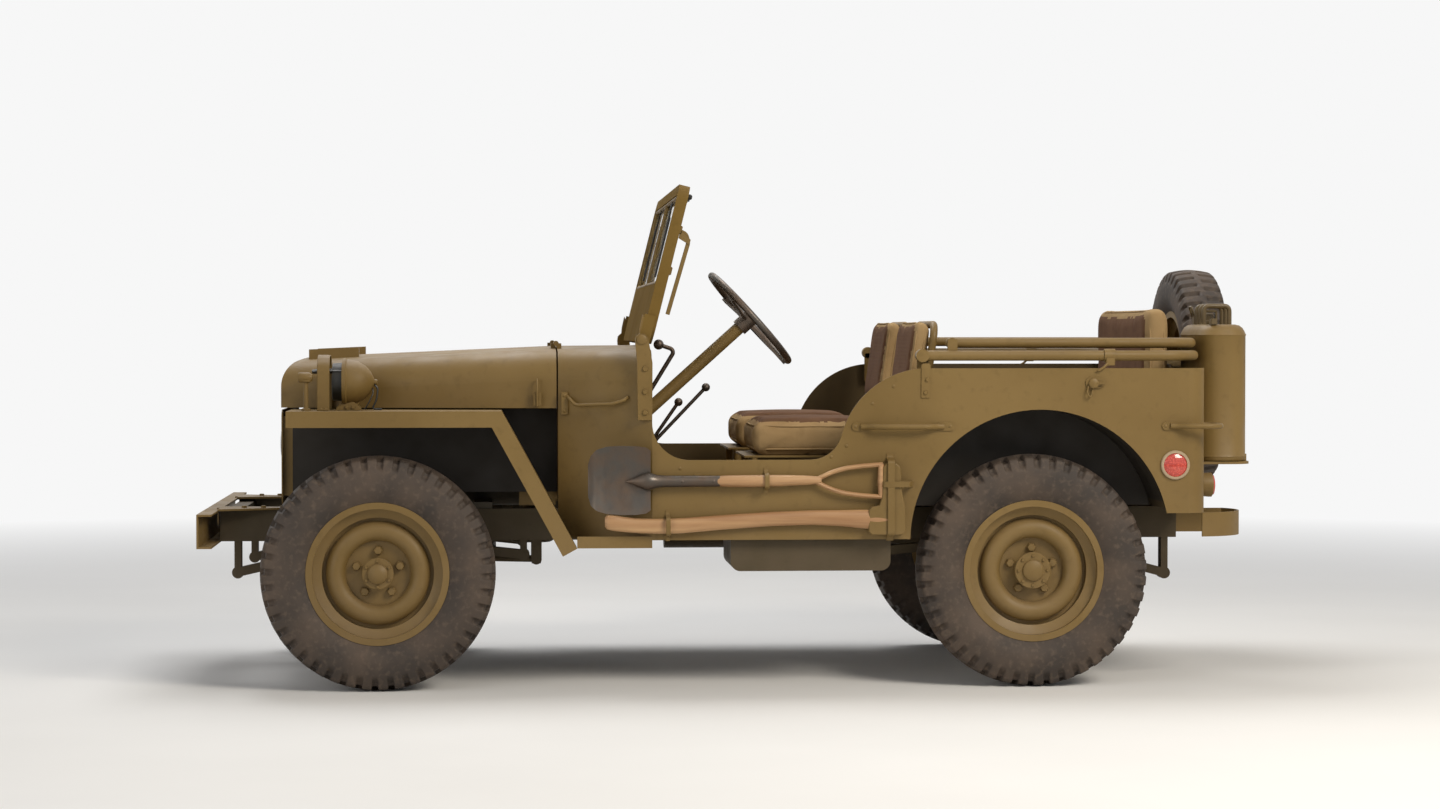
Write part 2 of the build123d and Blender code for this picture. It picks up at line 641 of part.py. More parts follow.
# Scuttle: bulkhead, cowl top, footwell sides and dashboard
DASH_X = DOOR_FRONT_X - 22.0
DASH_BOTTOM = BODY_TOP - 121.0
STEP_H = 36.0
scuttle_top_rear = SCUTTLE_TOP + 2.0
scuttle_outer = hoop_loft(
    SCUTTLE_X, DOOR_FRONT_X, SCUTTLE_HALF, SIDE_Y, SCUTTLE_TOP, scuttle_top_rear, SILL_BOTTOM
)
scuttle_inner = hoop_loft(
    SCUTTLE_X,
    DOOR_FRONT_X,
    SCUTTLE_HALF,
    SIDE_Y,
    SCUTTLE_TOP,
    scuttle_top_rear,
    SILL_BOTTOM - 50.0,
    inset=PANEL,
)
with BuildPart() as scuttle:
    add(scuttle_outer)
    add(scuttle_inner, mode=Mode.SUBTRACT)
    with BuildSketch(Plane.YZ.offset(SCUTTLE_X)):
        half, top = SCUTTLE_HALF - 1.0, SCUTTLE_TOP - 1.0
        add(hoop_section(half, top, FLOOR_TOP + 30.0, SHOULDER_R - 1.0, CROWN))
    extrude(amount=PANEL)
    with Locations((SCUTTLE_X, 0, TUNNEL_TOP - PANEL - 100.0)):
        Box(60.0, 2 * (TUNNEL_HALF - PANEL), 200.0, mode=Mode.SUBTRACT)
    with Locations((SCUTTLE_X, STEER_Y, STEER_Z + (SCUTTLE_X - STEER_X) * COLUMN_SLOPE)):
        Box(60.0, 70.0, 90.0, mode=Mode.SUBTRACT)
    with BuildSketch(Plane.YZ.offset(DASH_X)):
        half = scuttle_half(DASH_X) - 1.0
        add(hoop_section(half, scuttle_top_rear - 2.0, DASH_BOTTOM, SHOULDER_R, CROWN))
    extrude(amount=PANEL)
    with BuildSketch(Plane.XY.offset(SILL_BOTTOM)):
        with BuildLine():
            foot_y = scuttle_half(FENDER_FOOT_X) - 1.0
            Polyline(
                (FENDER_FOOT_X, -foot_y),
                (DOOR_FRONT_X, -SIDE_Y + 1.0),
                (DOOR_FRONT_X, -SIDE_Y),
                (FENDER_FOOT_X, -SIDE_Y),
                close=True,
            )
        make_face()
        mirror(about=Plane.XZ)
    extrude(amount=PANEL)
    for side in (-1, 1):
        step_z = SILL_BOTTOM + PANEL - STEP_H / 2 + 8.0
        with Locations(((FENDER_FOOT_X + DOOR_FRONT_X) / 2, side * (SIDE_Y - PANEL / 2), step_z)):
            Box(DOOR_FRONT_X - FENDER_FOOT_X, PANEL, STEP_H)
    for side in (-1, 1):
        for way in (-1, 1):
            y = side * HINGE_Y + way * (HINGE_HALF + FIT + 13.0)
            add(rod_y(HINGE_X, HINGE_Z, y - 13.0, y + 13.0, HINGE_R))
            with Locations((SCUTTLE_X + HINGE_LEG / 2, y, HINGE_Z - 12.0)):
                Box(HINGE_LEG, 26.0, 24.0)
        pin_y = (side * HINGE_Y - HINGE_HALF - 5.0, side * HINGE_Y + HINGE_HALF + 5.0)
        add(rod_y(HINGE_X, HINGE_Z, *pin_y, HINGE_PIN_R))
save(scuttle.part, "scuttle")

# Front fenders: a flat top with a rolled lip, a raked tail and an inner apron
knee, foot = (FENDER_KNEE_X, FENDER_TOP), (FENDER_FOOT_X, FENDER_FOOT_Z)
run = math.hypot(foot[0] - knee[0], foot[1] - knee[1])
along = ((foot[0] - knee[0]) / run, (foot[1] - knee[1]) / run)
inward = (along[1], -along[0])
turn_half = math.tan(math.acos(along[0]) / 2)


def strip(depth):
    """The fender's side view: its outline and the same line set in by a depth."""
    end = (foot[0] + inward[0] * depth, foot[1] + inward[1] * depth)
    inner_knee = (knee[0] - depth * turn_half, knee[1] - depth)
    front = FENDER_FRONT_X
    return [(front, FENDER_TOP), knee, foot, end, inner_knee, (front, FENDER_TOP - depth)]


with BuildPart() as front_fenders:
    with BuildSketch(Plane.XZ.offset(APRON_Y)):
        with BuildLine():
            Polyline(*strip(PANEL), close=True)
        make_face()
    extrude(amount=SIDE_Y - APRON_Y)
    with BuildSketch(Plane.XZ.offset(SIDE_Y - PANEL)):
        with BuildLine():
            Polyline(*strip(FENDER_LIP), close=True)
        make_face()
    extrude(amount=PANEL)
    with BuildSketch(Plane.XZ.offset(APRON_Y - PANEL)):
        with BuildLine():
            Polyline(
                (FENDER_FRONT_X, APRON_BOTTOM),
                (FENDER_FRONT_X, FENDER_TOP),
                (SCUTTLE_X - FIT, FENDER_TOP),
                (SCUTTLE_X - FIT, APRON_BOTTOM),
                close=True,
            )
        make_face()
    extrude(amount=PANEL)
    with BuildSketch(Plane.XY.offset(FENDER_FOOT_Z - 80.0)):
        with BuildLine():
            Polyline(
                (SCUTTLE_X - FIT, 0),
                (SCUTTLE_X - FIT, -SCUTTLE_HALF - FIT),
                (DOOR_FRONT_X, -SIDE_Y - FIT - 1.0),
                (DOOR_FRONT_X, 0),
                close=True,
            )
        make_face()
    extrude(amount=FENDER_TOP, mode=Mode.SUBTRACT)
    with Locations((FENDER_FOOT_X + 100.0, -SIDE_Y + 100.0, SILL_BOTTOM - 10.0)):
        Box(200.0 - 2 * FIT, 400.0, 60.0, mode=Mode.SUBTRACT)
    mirror(about=Plane.XZ)
save(front_fenders.part, "front_fenders")

# Bonnet: a tapering pressed panel with a rolled nose, a hinge bead and two rest blocks
HOOD_REAR_X = SCUTTLE_X - GAP
BLOCK_X = (NOSE_X + 78.0, NOSE_X + 236.0)
BLOCK_Y = 250.0
BLOCK_W = 46.0
BLOCK_H = 36.0


def nose_profile(inset):
    """The bonnet's side view, open to the back and below where an inset makes the inside."""
    back = HOOD_REAR_X if inset == 0 else HOOD_REAR_X + 50.0
    low = HOOD_BOTTOM if inset == 0 else HOOD_BOTTOM - 50.0
    radius = NOSE_R - inset
    nose = NOSE_X + inset
    corner_z = NOSE_TOP + 4.0 - NOSE_R
    with BuildLine() as outline:
        Line((nose, low), (nose, corner_z))
        RadiusArc((nose, corner_z), (nose + radius, corner_z + radius), radius)
        Line((nose + radius, corner_z + radius), (nose + radius, SCUTTLE_TOP + 60.0))
        Line((nose + radius, SCUTTLE_TOP + 60.0), (back, SCUTTLE_TOP + 60.0))
        Line((back, SCUTTLE_TOP + 60.0), (back, low))
        Line((back, low), (nose, low))
    with BuildSketch() as face:
        add(outline.line)
        make_face()
    return face.sketch


def bonnet_solid(inset):
    """The bonnet's outer or inner volume."""
    low = HOOD_BOTTOM if inset == 0 else HOOD_BOTTOM - 50.0
    shell = hoop_loft(
        NOSE_X, HOOD_REAR_X, NOSE_HALF, SCUTTLE_HALF - 2.0, NOSE_TOP, SCUTTLE_TOP, low, inset
    )
    with BuildPart() as piece:
        add(shell)
        with BuildSketch(Plane.XZ):
            add(nose_profile(inset))
        extrude(amount=SIDE_Y, both=True, mode=Mode.INTERSECT)
    return piece.part


bonnet_outer = bonnet_solid(0)
bonnet_inner = bonnet_solid(PANEL)
block_slope = (SCUTTLE_TOP - NOSE_TOP) / (HOOD_REAR_X - NOSE_X)
with BuildPart() as bonnet:
    add(bonnet_outer)
    add(bonnet_inner, mode=Mode.SUBTRACT)
    with Locations((NOSE_X, 0, HOOD_BOTTOM)):
        Box(4 * PANEL, 2 * (NOSE_HALF - PANEL), 2 * 57.0, mode=Mode.SUBTRACT)
    base = [NOSE_TOP + block_slope * (x - NOSE_X) - CROWN for x in BLOCK_X]
    for side in (-1, 1):
        with BuildSketch(Plane.XZ.offset(side * BLOCK_Y - BLOCK_W / 2)):
            with BuildLine():
                Polyline(
                    (BLOCK_X[0], base[0]),
                    (BLOCK_X[1], base[1]),
                    (BLOCK_X[1], base[1] + BLOCK_H),
                    (BLOCK_X[0], base[0] + BLOCK_H),
                    close=True,
                )
            make_face()
        extrude(amount=BLOCK_W)
    for side in (-1, 1):
        low, high = side * HINGE_Y - HINGE_HALF, side * HINGE_Y + HINGE_HALF
        add(rod_y(HINGE_X, HINGE_Z, low, high, HINGE_R))
        with Locations((HOOD_REAR_X - HINGE_LEG / 2, side * HINGE_Y, HINGE_Z - 12.0)):
            Box(HINGE_LEG, high - low, 24.0)
        with Locations((HINGE_X, side * HINGE_Y, HINGE_Z)):
            Cylinder(
                HINGE_PIN_R + SPINDLE_FIT, high - low, rotation=(90, 0, 0), mode=Mode.SUBTRACT
            )
save(bonnet.part, "bonnet")

# Grille: a pressed plate with upright slots and two lamp holes, with flanges at its sides
SLOTS = 9
SLOT_PITCH = 46.0
SLOT_W = 25.0
SLOT_H = 232.0
HEADLAMP_Y = 300.0
HEADLAMP_Z = GRILLE_BOTTOM + 192.0
HEADLAMP_HOLE_R = 84.0
GRILLE_HALF = NOSE_HALF - PANEL - GAP
GRILLE_TOP = FENDER_TOP - 2.0
GRILLE_MID_Z = GRILLE_BOTTOM + 165.0
with BuildPart() as grille:
    with BuildSketch(Plane.YZ.offset(NOSE_X)):
        with Locations((0, (GRILLE_BOTTOM + GRILLE_TOP) / 2)):
            RectangleRounded(2 * GRILLE_HALF, GRILLE_TOP - GRILLE_BOTTOM, 30.0)
        with GridLocations(SLOT_PITCH, 1.0, SLOTS, 1):
            with Locations((0, GRILLE_MID_Z)):
                SlotOverall(SLOT_H, SLOT_W, rotation=90, mode=Mode.SUBTRACT)
        with Locations((-HEADLAMP_Y, HEADLAMP_Z), (HEADLAMP_Y, HEADLAMP_Z)):
            Circle(HEADLAMP_HOLE_R, mode=Mode.SUBTRACT)
    extrude(amount=PANEL)
    for side in (-1, 1):
        flange = FENDER_FRONT_X - FIT - NOSE_X
        with Locations((NOSE_X + flange / 2, side * (APRON_Y - PANEL / 2), GRILLE_MID_Z - 10.0)):
            Box(flange, PANEL, 250.0)
save(grille.part, "grille")

# Radiator, standing on its cross member
RADIATOR_X = NOSE_X + 90.0
RADIATOR_LOW = RAIL_TOP - 20.0 + FIT
RADIATOR_HIGH = RAIL_TOP + 310.0 - FIT
with BuildPart() as radiator:
    with Locations((RADIATOR_X, 0, (RADIATOR_LOW + RADIATOR_HIGH) / 2)):
        Box(56.0, 480.0, RADIATOR_HIGH - RADIATOR_LOW)
    with Locations((RADIATOR_X, 0, RAIL_TOP + 300.0)):
        Cylinder(22.0, 300.0, rotation=(90, 0, 0))
    fillet(radiator.edges().filter_by(Axis.X), 12.0)
save(radiator.part, "radiator")

# Engine: a plain block on two feet across the rails
ENGINE_X = (NOSE_X + 150.0, SCUTTLE_X - 115.0)
ENGINE_HALF = 165.0
ENGINE_BOTTOM = RAIL_TOP + FIT
ENGINE_TOP = RAIL_TOP + 305.0
with BuildPart() as engine:
    with Locations((sum(ENGINE_X) / 2, 0, (ENGINE_BOTTOM + ENGINE_TOP) / 2)):
        Box(ENGINE_X[1] - ENGINE_X[0], 2 * ENGINE_HALF, ENGINE_TOP - ENGINE_BOTTOM)
    fillet(engine.edges().filter_by(Axis.X), 25.0)
    for x in (ENGINE_X[0] + 90.0, ENGINE_X[1] - 120.0):
        with Locations((x, 0, ENGINE_BOTTOM + 10.0)):
            Box(60.0, 2 * RAIL_Y - 10.0, 20.0)
save(engine.part, "engine")

# Gearbox and transfer case in one casting
CASE_BOTTOM = RAIL_TOP - 85.0 + FIT
CASE_X = (SCUTTLE_X + 145.0, SCUTTLE_X + 305.0)
CASE_TOP = RAIL_TOP - 9.0
SHAFT_Y = 120.0
SHAFT_Z = RAIL_TOP - 59.0
with BuildPart() as gearbox:
    with BuildSketch(Plane.XZ.offset(-95.0)):
        with BuildLine():
            Polyline(
                (ENGINE_X[1] + FIT, CASE_BOTTOM + 60.0),
                (ENGINE_X[1] + FIT, RAIL_TOP + 115.0),
                (SCUTTLE_X - 25.0, RAIL_TOP + 115.0),
                (SCUTTLE_X + 15.0, RAIL_TOP + 95.0),
                (CASE_X[0], RAIL_TOP + 75.0),
                (CASE_X[0] + 30.0, RAIL_TOP),
                (CASE_X[1], RAIL_TOP - 5.0),
                (CASE_X[1], CASE_BOTTOM),
                (CASE_X[0], CASE_BOTTOM),
                close=True,
            )
        make_face()
    extrude(amount=190.0)
    with Locations(((CASE_X[0] + CASE_X[1]) / 2, SHAFT_Y + 20.0, (CASE_BOTTOM + CASE_TOP) / 2)):
        Box(CASE_X[1] - CASE_X[0], 120.0, CASE_TOP - CASE_BOTTOM)
save(gearbox.part, "gearbox")

# Propeller shafts, one to each axle
PINION_Z = TYRE_R + 33.0
SHAFTS = [
    # start at the transfer case, end at the axle's nose
    ((CASE_X[0] - FIT, SHAFT_Y + 25.0, SHAFT_Z), (FRONT_AXLE_X + DIFF_R + 32.0, DIFF_Y, PINION_Z)),
    ((CASE_X[1] + FIT, SHAFT_Y + 25.0, SHAFT_Z), (REAR_AXLE_X - DIFF_R - 32.0, DIFF_Y, PINION_Z)),
]
with BuildPart() as propeller_shafts:
    for start, end in SHAFTS:
        way = 1 if end[0] > start[0] else -1
        inside = [(start[0] + way * 8.0, start[1], start[2]), (end[0] - way * 8.0, end[1], end[2])]
        add(tube(inside, 0, 20.0))
        with Locations((start[0] + way * 11.0, start[1], start[2] - 1.0)):
            Cylinder(23.0, 22.0, rotation=(0, 90, 0))
        with Locations((end[0] - way * 10.0, end[1], end[2] + 1.0)):
            Cylinder(26.0, 20.0, rotation=(0, 90, 0))
save(propeller_shafts.part, "propeller_shafts")


def axle_body(axle_x, nose):
    """An axle tube with its differential bowl and pinion nose; the nose points fore or aft."""
    with BuildPart() as piece:
        with Locations((axle_x, DIFF_Y, TYRE_R)):
            Sphere(DIFF_R)
        with Locations((axle_x + nose * (DIFF_R / 2 + 15.0), DIFF_Y, PINION_Z - 7.0)):
            Cylinder(34.0, DIFF_R + 30.0, rotation=(0, 90, 0))
    return piece.part


# Front axle: tube, differential, swivel yokes and the bell crank's bracket
YOKE_GAP = 60.0
YOKE_LUG = 18.0
with BuildPart() as front_axle:
    add(axle_body(FRONT_AXLE_X, 1))
    add(rod_y(FRONT_AXLE_X, TYRE_R, -KINGPIN_Y + 50.0, KINGPIN_Y - 50.0, AXLE_R))
    for side in (-1, 1):
        with Locations((FRONT_AXLE_X, side * (KINGPIN_Y - 54.0), TYRE_R)):
            Box(56.0, 14.0, 2 * (YOKE_GAP + YOKE_LUG))
        for way in (-1, 1):
            with Locations(
                (FRONT_AXLE_X, side * (KINGPIN_Y - 20.0), TYRE_R + way * (YOKE_GAP + YOKE_LUG / 2))
            ):
                Box(56.0, 80.0, YOKE_LUG)
            with Locations(
                (FRONT_AXLE_X, side * KINGPIN_Y, TYRE_R + way * (YOKE_GAP + YOKE_LUG / 2))
            ):
                Cylinder(KINGPIN_R + SPINDLE_FIT, YOKE_LUG + 2.0, mode=Mode.SUBTRACT)
    bracket_z = ARM_HIGH + PIVOT_FIT + 8.0
    with Locations(((FRONT_AXLE_X + CRANK_X) / 2 + 15.0, CRANK_Y, bracket_z)):
        Box(CRANK_X - FRONT_AXLE_X + 26.0, 56.0, 16.0)
    with Locations((CRANK_X, CRANK_Y, (ARM_LOW - 12.0 + bracket_z) / 2)):
        Cylinder(12.0, bracket_z - ARM_LOW + 12.0)
save(front_axle.part, "front_axle")

# Rear axle, with a spindle for each wheel
with BuildPart() as rear_axle:
    add(axle_body(REAR_AXLE_X, -1))
    add(rod_y(REAR_AXLE_X, TYRE_R, 1.0 - DRUM_BACK_Y, DRUM_BACK_Y - 1.0, AXLE_R))
    reach = WHEEL_Y + 38.0 - 12.0 - 1.0
    add(rod_y(REAR_AXLE_X, TYRE_R, -reach, reach, SPINDLE_R))
save(rear_axle.part, "rear_axle")

# Swivels: a barrel on its kingpin, a spindle for the wheel and a steering arm
for name, side in (("left", -1), ("right", 1)):
    with BuildPart() as knuckle:
        pin_half = YOKE_GAP + YOKE_LUG + 6.0
        with Locations((FRONT_AXLE_X, side * KINGPIN_Y, TYRE_R)):
            Cylinder(KINGPIN_R, 2 * pin_half)
            Cylinder(32.0, 2 * (YOKE_GAP - PIVOT_FIT))
        reach = WHEEL_Y + HUB_REACH - 12.0 - 1.0
        low, high = sorted((side * KINGPIN_Y, side * reach))
        add(rod_y(FRONT_AXLE_X, TYRE_R, low, high, SPINDLE_R))
        low, high = sorted((side * (KINGPIN_Y + 5.0), side * (DRUM_BACK_Y - 1.0)))
        add(rod_y(FRONT_AXLE_X, TYRE_R, low, high, 30.0))
        low, high = sorted((side * (DRUM_BACK_Y - 11.0), side * (DRUM_BACK_Y - 1.0)))
        add(rod_y(FRONT_AXLE_X, TYRE_R, low, high, 58.0))
        with BuildSketch(Plane.XY.offset(ARM_LOW)):
            with Locations((FRONT_AXLE_X + ARM_LENGTH / 2, side * KINGPIN_Y)):
                SlotCenterToCenter(ARM_LENGTH, 2 * ARM_HALF)
        extrude(amount=ARM_HIGH - ARM_LOW)
    save(knuckle.part, f"knuckle_{name}")

# Bell crank, two tie rods, drag link and drop arm
with BuildPart() as bell_crank:
    with BuildSketch(Plane.XY.offset(ARM_LOW)):
        with Locations((CRANK_X + ARM_LENGTH / 2, CRANK_Y)):
            SlotCenterToCenter(ARM_LENGTH, 2 * ARM_HALF)
        with Locations((CRANK_X, CRANK_Y - CRANK_ARM / 2)):
            SlotCenterToCenter(CRANK_ARM, 2 * ARM_HALF, rotation=90)
        with Locations((CRANK_X, CRANK_Y)):
            Circle(26.0)
            Circle(12.0 + SPINDLE_FIT * 4, mode=Mode.SUBTRACT)
    extrude(amount=ARM_HIGH - ARM_LOW)
save(bell_crank.part, "bell_crank")

with BuildPart() as tie_rods:
    for side, way in ((-1, -1), (1, 1)):
        start = (CRANK_X + ARM_LENGTH, CRANK_Y + way * 4.0, TIE_Z)
        end = (FRONT_AXLE_X + ARM_LENGTH, side * KINGPIN_Y, TIE_Z)
        add(tube([start, end], 0, LINK_R))
        with Locations(end):
            Cylinder(BALL_R, 2 * BALL_R)
    with Locations((CRANK_X + ARM_LENGTH, CRANK_Y, TIE_Z)):
        Cylinder(BALL_R, 2 * BALL_R)
save(tie_rods.part, "tie_rods")

with BuildPart() as drag_link:
    ends = [(PITMAN_X, DRAG_END_Y, DRAG_Z), (CRANK_X, CRANK_Y - CRANK_ARM, DRAG_Z)]
    add(tube(ends, 0, LINK_R))
    for end in ends:
        with Locations(end):
            Cylinder(BALL_R, 2 * BALL_R)
save(drag_link.part, "drag_link")

with BuildPart() as drop_arm:
    with BuildSketch(Plane.XZ.offset(-(PITMAN_Y + PITMAN_HALF))):
        with Locations((PITMAN_X, PITMAN_Z - PITMAN_ARM / 2)):
            SlotCenterToCenter(PITMAN_ARM, 34.0, rotation=90)
        with Locations((PITMAN_X, PITMAN_Z)):
            Circle(24.0)
            Circle(12.0 + SPINDLE_FIT * 4, mode=Mode.SUBTRACT)
    extrude(amount=2 * PITMAN_HALF)
save(drop_arm.part, "drop_arm")

# Leaf springs with their shackles, one above each end of both axles
SPRING_THICK = 28.0
SPRING_MID = TYRE_R + AXLE_R + FIT + SPRING_THICK / 2
SPRINGS = [
    # axle, front eye along X and its height, rear eye along X and its height
    (FRONT_AXLE_X, -450.0, TYRE_R - 16.0, 450.0, TYRE_R + 36.0),
    (REAR_AXLE_X, -480.0, TYRE_R + 36.0, 478.0, TYRE_R - 32.0),
]
with BuildPart() as leaf_springs:
    for axle_x, front, front_z, rear, rear_z in SPRINGS:
        with BuildSketch(Plane.XZ.offset(-(SPRING_Y + SPRING_W / 2))):
            with BuildLine() as leaf:
                ThreePointArc(
                    (axle_x + front, front_z), (axle_x, SPRING_MID), (axle_x + rear, rear_z)
                )
                offset(amount=SPRING_THICK / 2, side=Side.BOTH)
            make_face()
        extrude(amount=SPRING_W)
        for x, z in ((axle_x + front, front_z), (axle_x + rear, rear_z)):
            with Locations((x, SPRING_Y, z)):
                Cylinder(19.0, SPRING_W, rotation=(90, 0, 0))
            top = RAIL_BOTTOM - FIT
            with Locations((x, SPRING_Y, (z + top) / 2)):
                Box(22.0, SPRING_W, top - z)
    mirror(about=Plane.XZ)
save(leaf_springs.part, "leaf_springs")

# Dampers outside the rails
DAMPER_Y = RAIL_Y + 26.0
with BuildPart() as dampers:
    for x in (FRONT_AXLE_X + 70.0, REAR_AXLE_X - 90.0):
        with Locations((x, DAMPER_Y, TYRE_R + 53.0)):
            Cylinder(20.0, 120.0)
        with Locations((x, DAMPER_Y, TYRE_R + 128.0)):
            Cylinder(14.0, 60.0)
        add(rod_y(x, TYRE_R + 146.0, RAIL_Y + FIT, DAMPER_Y, 9.0))
        add(rod_y(x, TYRE_R + 3.0, SPRING_Y + SPRING_W / 2 + FIT, DAMPER_Y, 9.0))
    mirror(about=Plane.XZ)
save(dampers.part, "dampers")

# Exhaust pipe and silencer under the right-hand side
PIPE_R = 19.0
PIPE_Y = 500.0
PIPE_INNER_Y = 262.0
PIPE_Z = RAIL_TOP - 131.0
PORT_Z = RAIL_TOP + 95.0
SILENCER_X = DOOR_FRONT_X + 310.0
SILENCER_HALF = 210.0
with BuildPart() as exhaust:
    route = [
        (ENGINE_X[1] - 40.0, ENGINE_HALF + FIT, PORT_Z),
        (ENGINE_X[1] - 40.0, PIPE_INNER_Y, PORT_Z),
        (ENGINE_X[1] - 40.0, PIPE_INNER_Y, PIPE_Z),
        (SCUTTLE_X - 15.0, PIPE_INNER_Y, PIPE_Z),
        (SCUTTLE_X - 15.0, PIPE_Y, PIPE_Z),
        (SILENCER_X - SILENCER_HALF + 10.0, PIPE_Y, PIPE_Z),
    ]
    add(tube(route, 40.0, PIPE_R))
    with Locations((SILENCER_X, PIPE_Y, PIPE_Z)):
        Cylinder(55.0, 2 * SILENCER_HALF, rotation=(0, 90, 0))
    tail = [
        (SILENCER_X + SILENCER_HALF - 10.0, PIPE_Y, PIPE_Z),
        (SILENCER_X + SILENCER_HALF + 170.0, PIPE_Y, PIPE_Z),
        (SILENCER_X + SILENCER_HALF + 170.0, SIDE_Y - 35.0, PIPE_Z),
    ]
    add(tube(tail, 60.0, PIPE_R))
    with Locations((SILENCER_X, PIPE_Y, (PIPE_Z + FLOOR_TOP - PANEL - FIT) / 2)):
        Box(24.0, 60.0, FLOOR_TOP - PANEL - FIT - PIPE_Z)
save(exhaust.part, "exhaust")

# Fuel tank, hung under the floor on the left
TANK_X = (SEAT_FRONT_X - 46.0, SEAT_FRONT_X + 450.0)
TANK_Y = (35.0 - SIDE_Y, -RAIL_Y - 15.0)
TANK_Z = (RAIL_TOP - 178.0, FLOOR_TOP - PANEL - FIT)
with BuildPart() as fuel_tank:
    with Locations((sum(TANK_X) / 2, sum(TANK_Y) / 2, sum(TANK_Z) / 2)):
        Box(TANK_X[1] - TANK_X[0], TANK_Y[1] - TANK_Y[0], TANK_Z[1] - TANK_Z[0])
    fillet(fuel_tank.edges().filter_by(Axis.Y).sort_by(Axis.Z)[:2], 30.0)
save(fuel_tank.part, "fuel_tank")

# Front seats: a tube hoop with legs and a pan, and two pads
HOOP_FOOT_X = SEAT_FRONT_X + SEAT_LENGTH + 40.0
HOOP_KNEE_Z = SEAT_PAN_TOP + 2.0
HOOP_X = HOOP_FOOT_X + 88.0
lean_x = math.sin(math.radians(BACK_LEAN))
lean_z = math.cos(math.radians(BACK_LEAN))
HOOP_BEND_Z = SEAT_PAN_TOP + 117.0


def along_back(height, offset=0.0):
    """A point on the hoop's leaning part at a height, moved off it by an offset to the front."""
    rise = (height - HOOP_BEND_Z) / lean_z
    return (HOOP_X + rise * lean_x - offset * lean_z, height + offset * lean_x)


def seat_frame(centre, leg_foot):
    """The tube frame and pan of one front seat; its front legs end at a height of their own."""
    half = SEAT_W / 2 - SEAT_TUBE_R - 4.0
    top_x, top_z = along_back(BACK_TOP - 14.0)
    foot = FLOOR_TOP + FIT
    hoop = [
        (HOOP_FOOT_X, centre - half, foot),
        (HOOP_FOOT_X, centre - half, HOOP_KNEE_Z),
        (HOOP_X, centre - half, HOOP_BEND_Z),
        (top_x, centre - half, top_z),
        (top_x, centre + half, top_z),
        (HOOP_X, centre + half, HOOP_BEND_Z),
        (HOOP_FOOT_X, centre + half, HOOP_KNEE_Z),
        (HOOP_FOOT_X, centre + half, foot),
    ]
    pan_z = SEAT_PAN_TOP - PAN_SHEET / 2
    with BuildPart() as piece:
        add(tube(hoop, 50.0, SEAT_TUBE_R))
        with Locations(((SEAT_FRONT_X + HOOP_FOOT_X) / 2 + 4.0, centre, pan_z)):
            Box(HOOP_FOOT_X - SEAT_FRONT_X - 8.0, 2 * half, PAN_SHEET)
        for side in (-1, 1):
            leg_y = centre + side * LEG_OUT
            add(tube([(TIP_X, leg_y, leg_foot), (TIP_X, leg_y, pan_z)], 0, SEAT_TUBE_R))
        add(rod_y(HOOP_FOOT_X, pan_z, centre - half, centre + half, SEAT_TUBE_R))
    return piece.part


with BuildPart() as back_blank:
    Box(BACK_THICK, PAD_W, (BACK_TOP - BACK_BOTTOM) / lean_z)
    fillet(back_blank.edges().filter_by(Axis.X), 50.0)
    fillet(back_blank.faces().sort_by(Axis.X)[0].edges(), 14.0)


def seat_pads(centre):
    """The cushion and the back pad of one front seat."""
    cushion_z = SEAT_PAN_TOP + FIT + CUSHION_H / 2
    mid_x, mid_z = along_back((BACK_BOTTOM + BACK_TOP) / 2, SEAT_TUBE_R + FIT + BACK_THICK / 2)
    with BuildPart() as piece:
        with Locations((SEAT_FRONT_X + SEAT_LENGTH / 2, centre, cushion_z)):
            Box(SEAT_LENGTH, PAD_W, CUSHION_H)
        fillet(piece.edges().filter_by(Axis.Z) + piece.faces().sort_by(Axis.Z)[-1].edges(), 26.0)
        add(back_blank.part.moved(Location((mid_x, centre, mid_z), (0, BACK_LEAN, 0))))
    return piece.part


with BuildPart() as driver_seat_frame:
    add(seat_frame(-SEAT_Y, FLOOR_TOP + FIT))
save(driver_seat_frame.part, "driver_seat_frame")
with BuildPart() as driver_seat_pads:
    add(seat_pads(-SEAT_Y))
save(driver_seat_pads.part, "driver_seat_pads")
with BuildPart() as passenger_seat_frame:
    add(seat_frame(SEAT_Y, TIP_Z - SEAT_TUBE_R - 2.0))
    for side in (-1, 1):
        with Locations((TIP_X, SEAT_Y + side * LEG_OUT, TIP_Z)):
            Cylinder(TIP_PIN_R + SPINDLE_FIT, 60.0, rotation=(90, 0, 0), mode=Mode.SUBTRACT)
save(passenger_seat_frame.part, "passenger_seat_frame")
with BuildPart() as passenger_seat_pads:
    add(seat_pads(SEAT_Y))
save(passenger_seat_pads.part, "passenger_seat_pads")

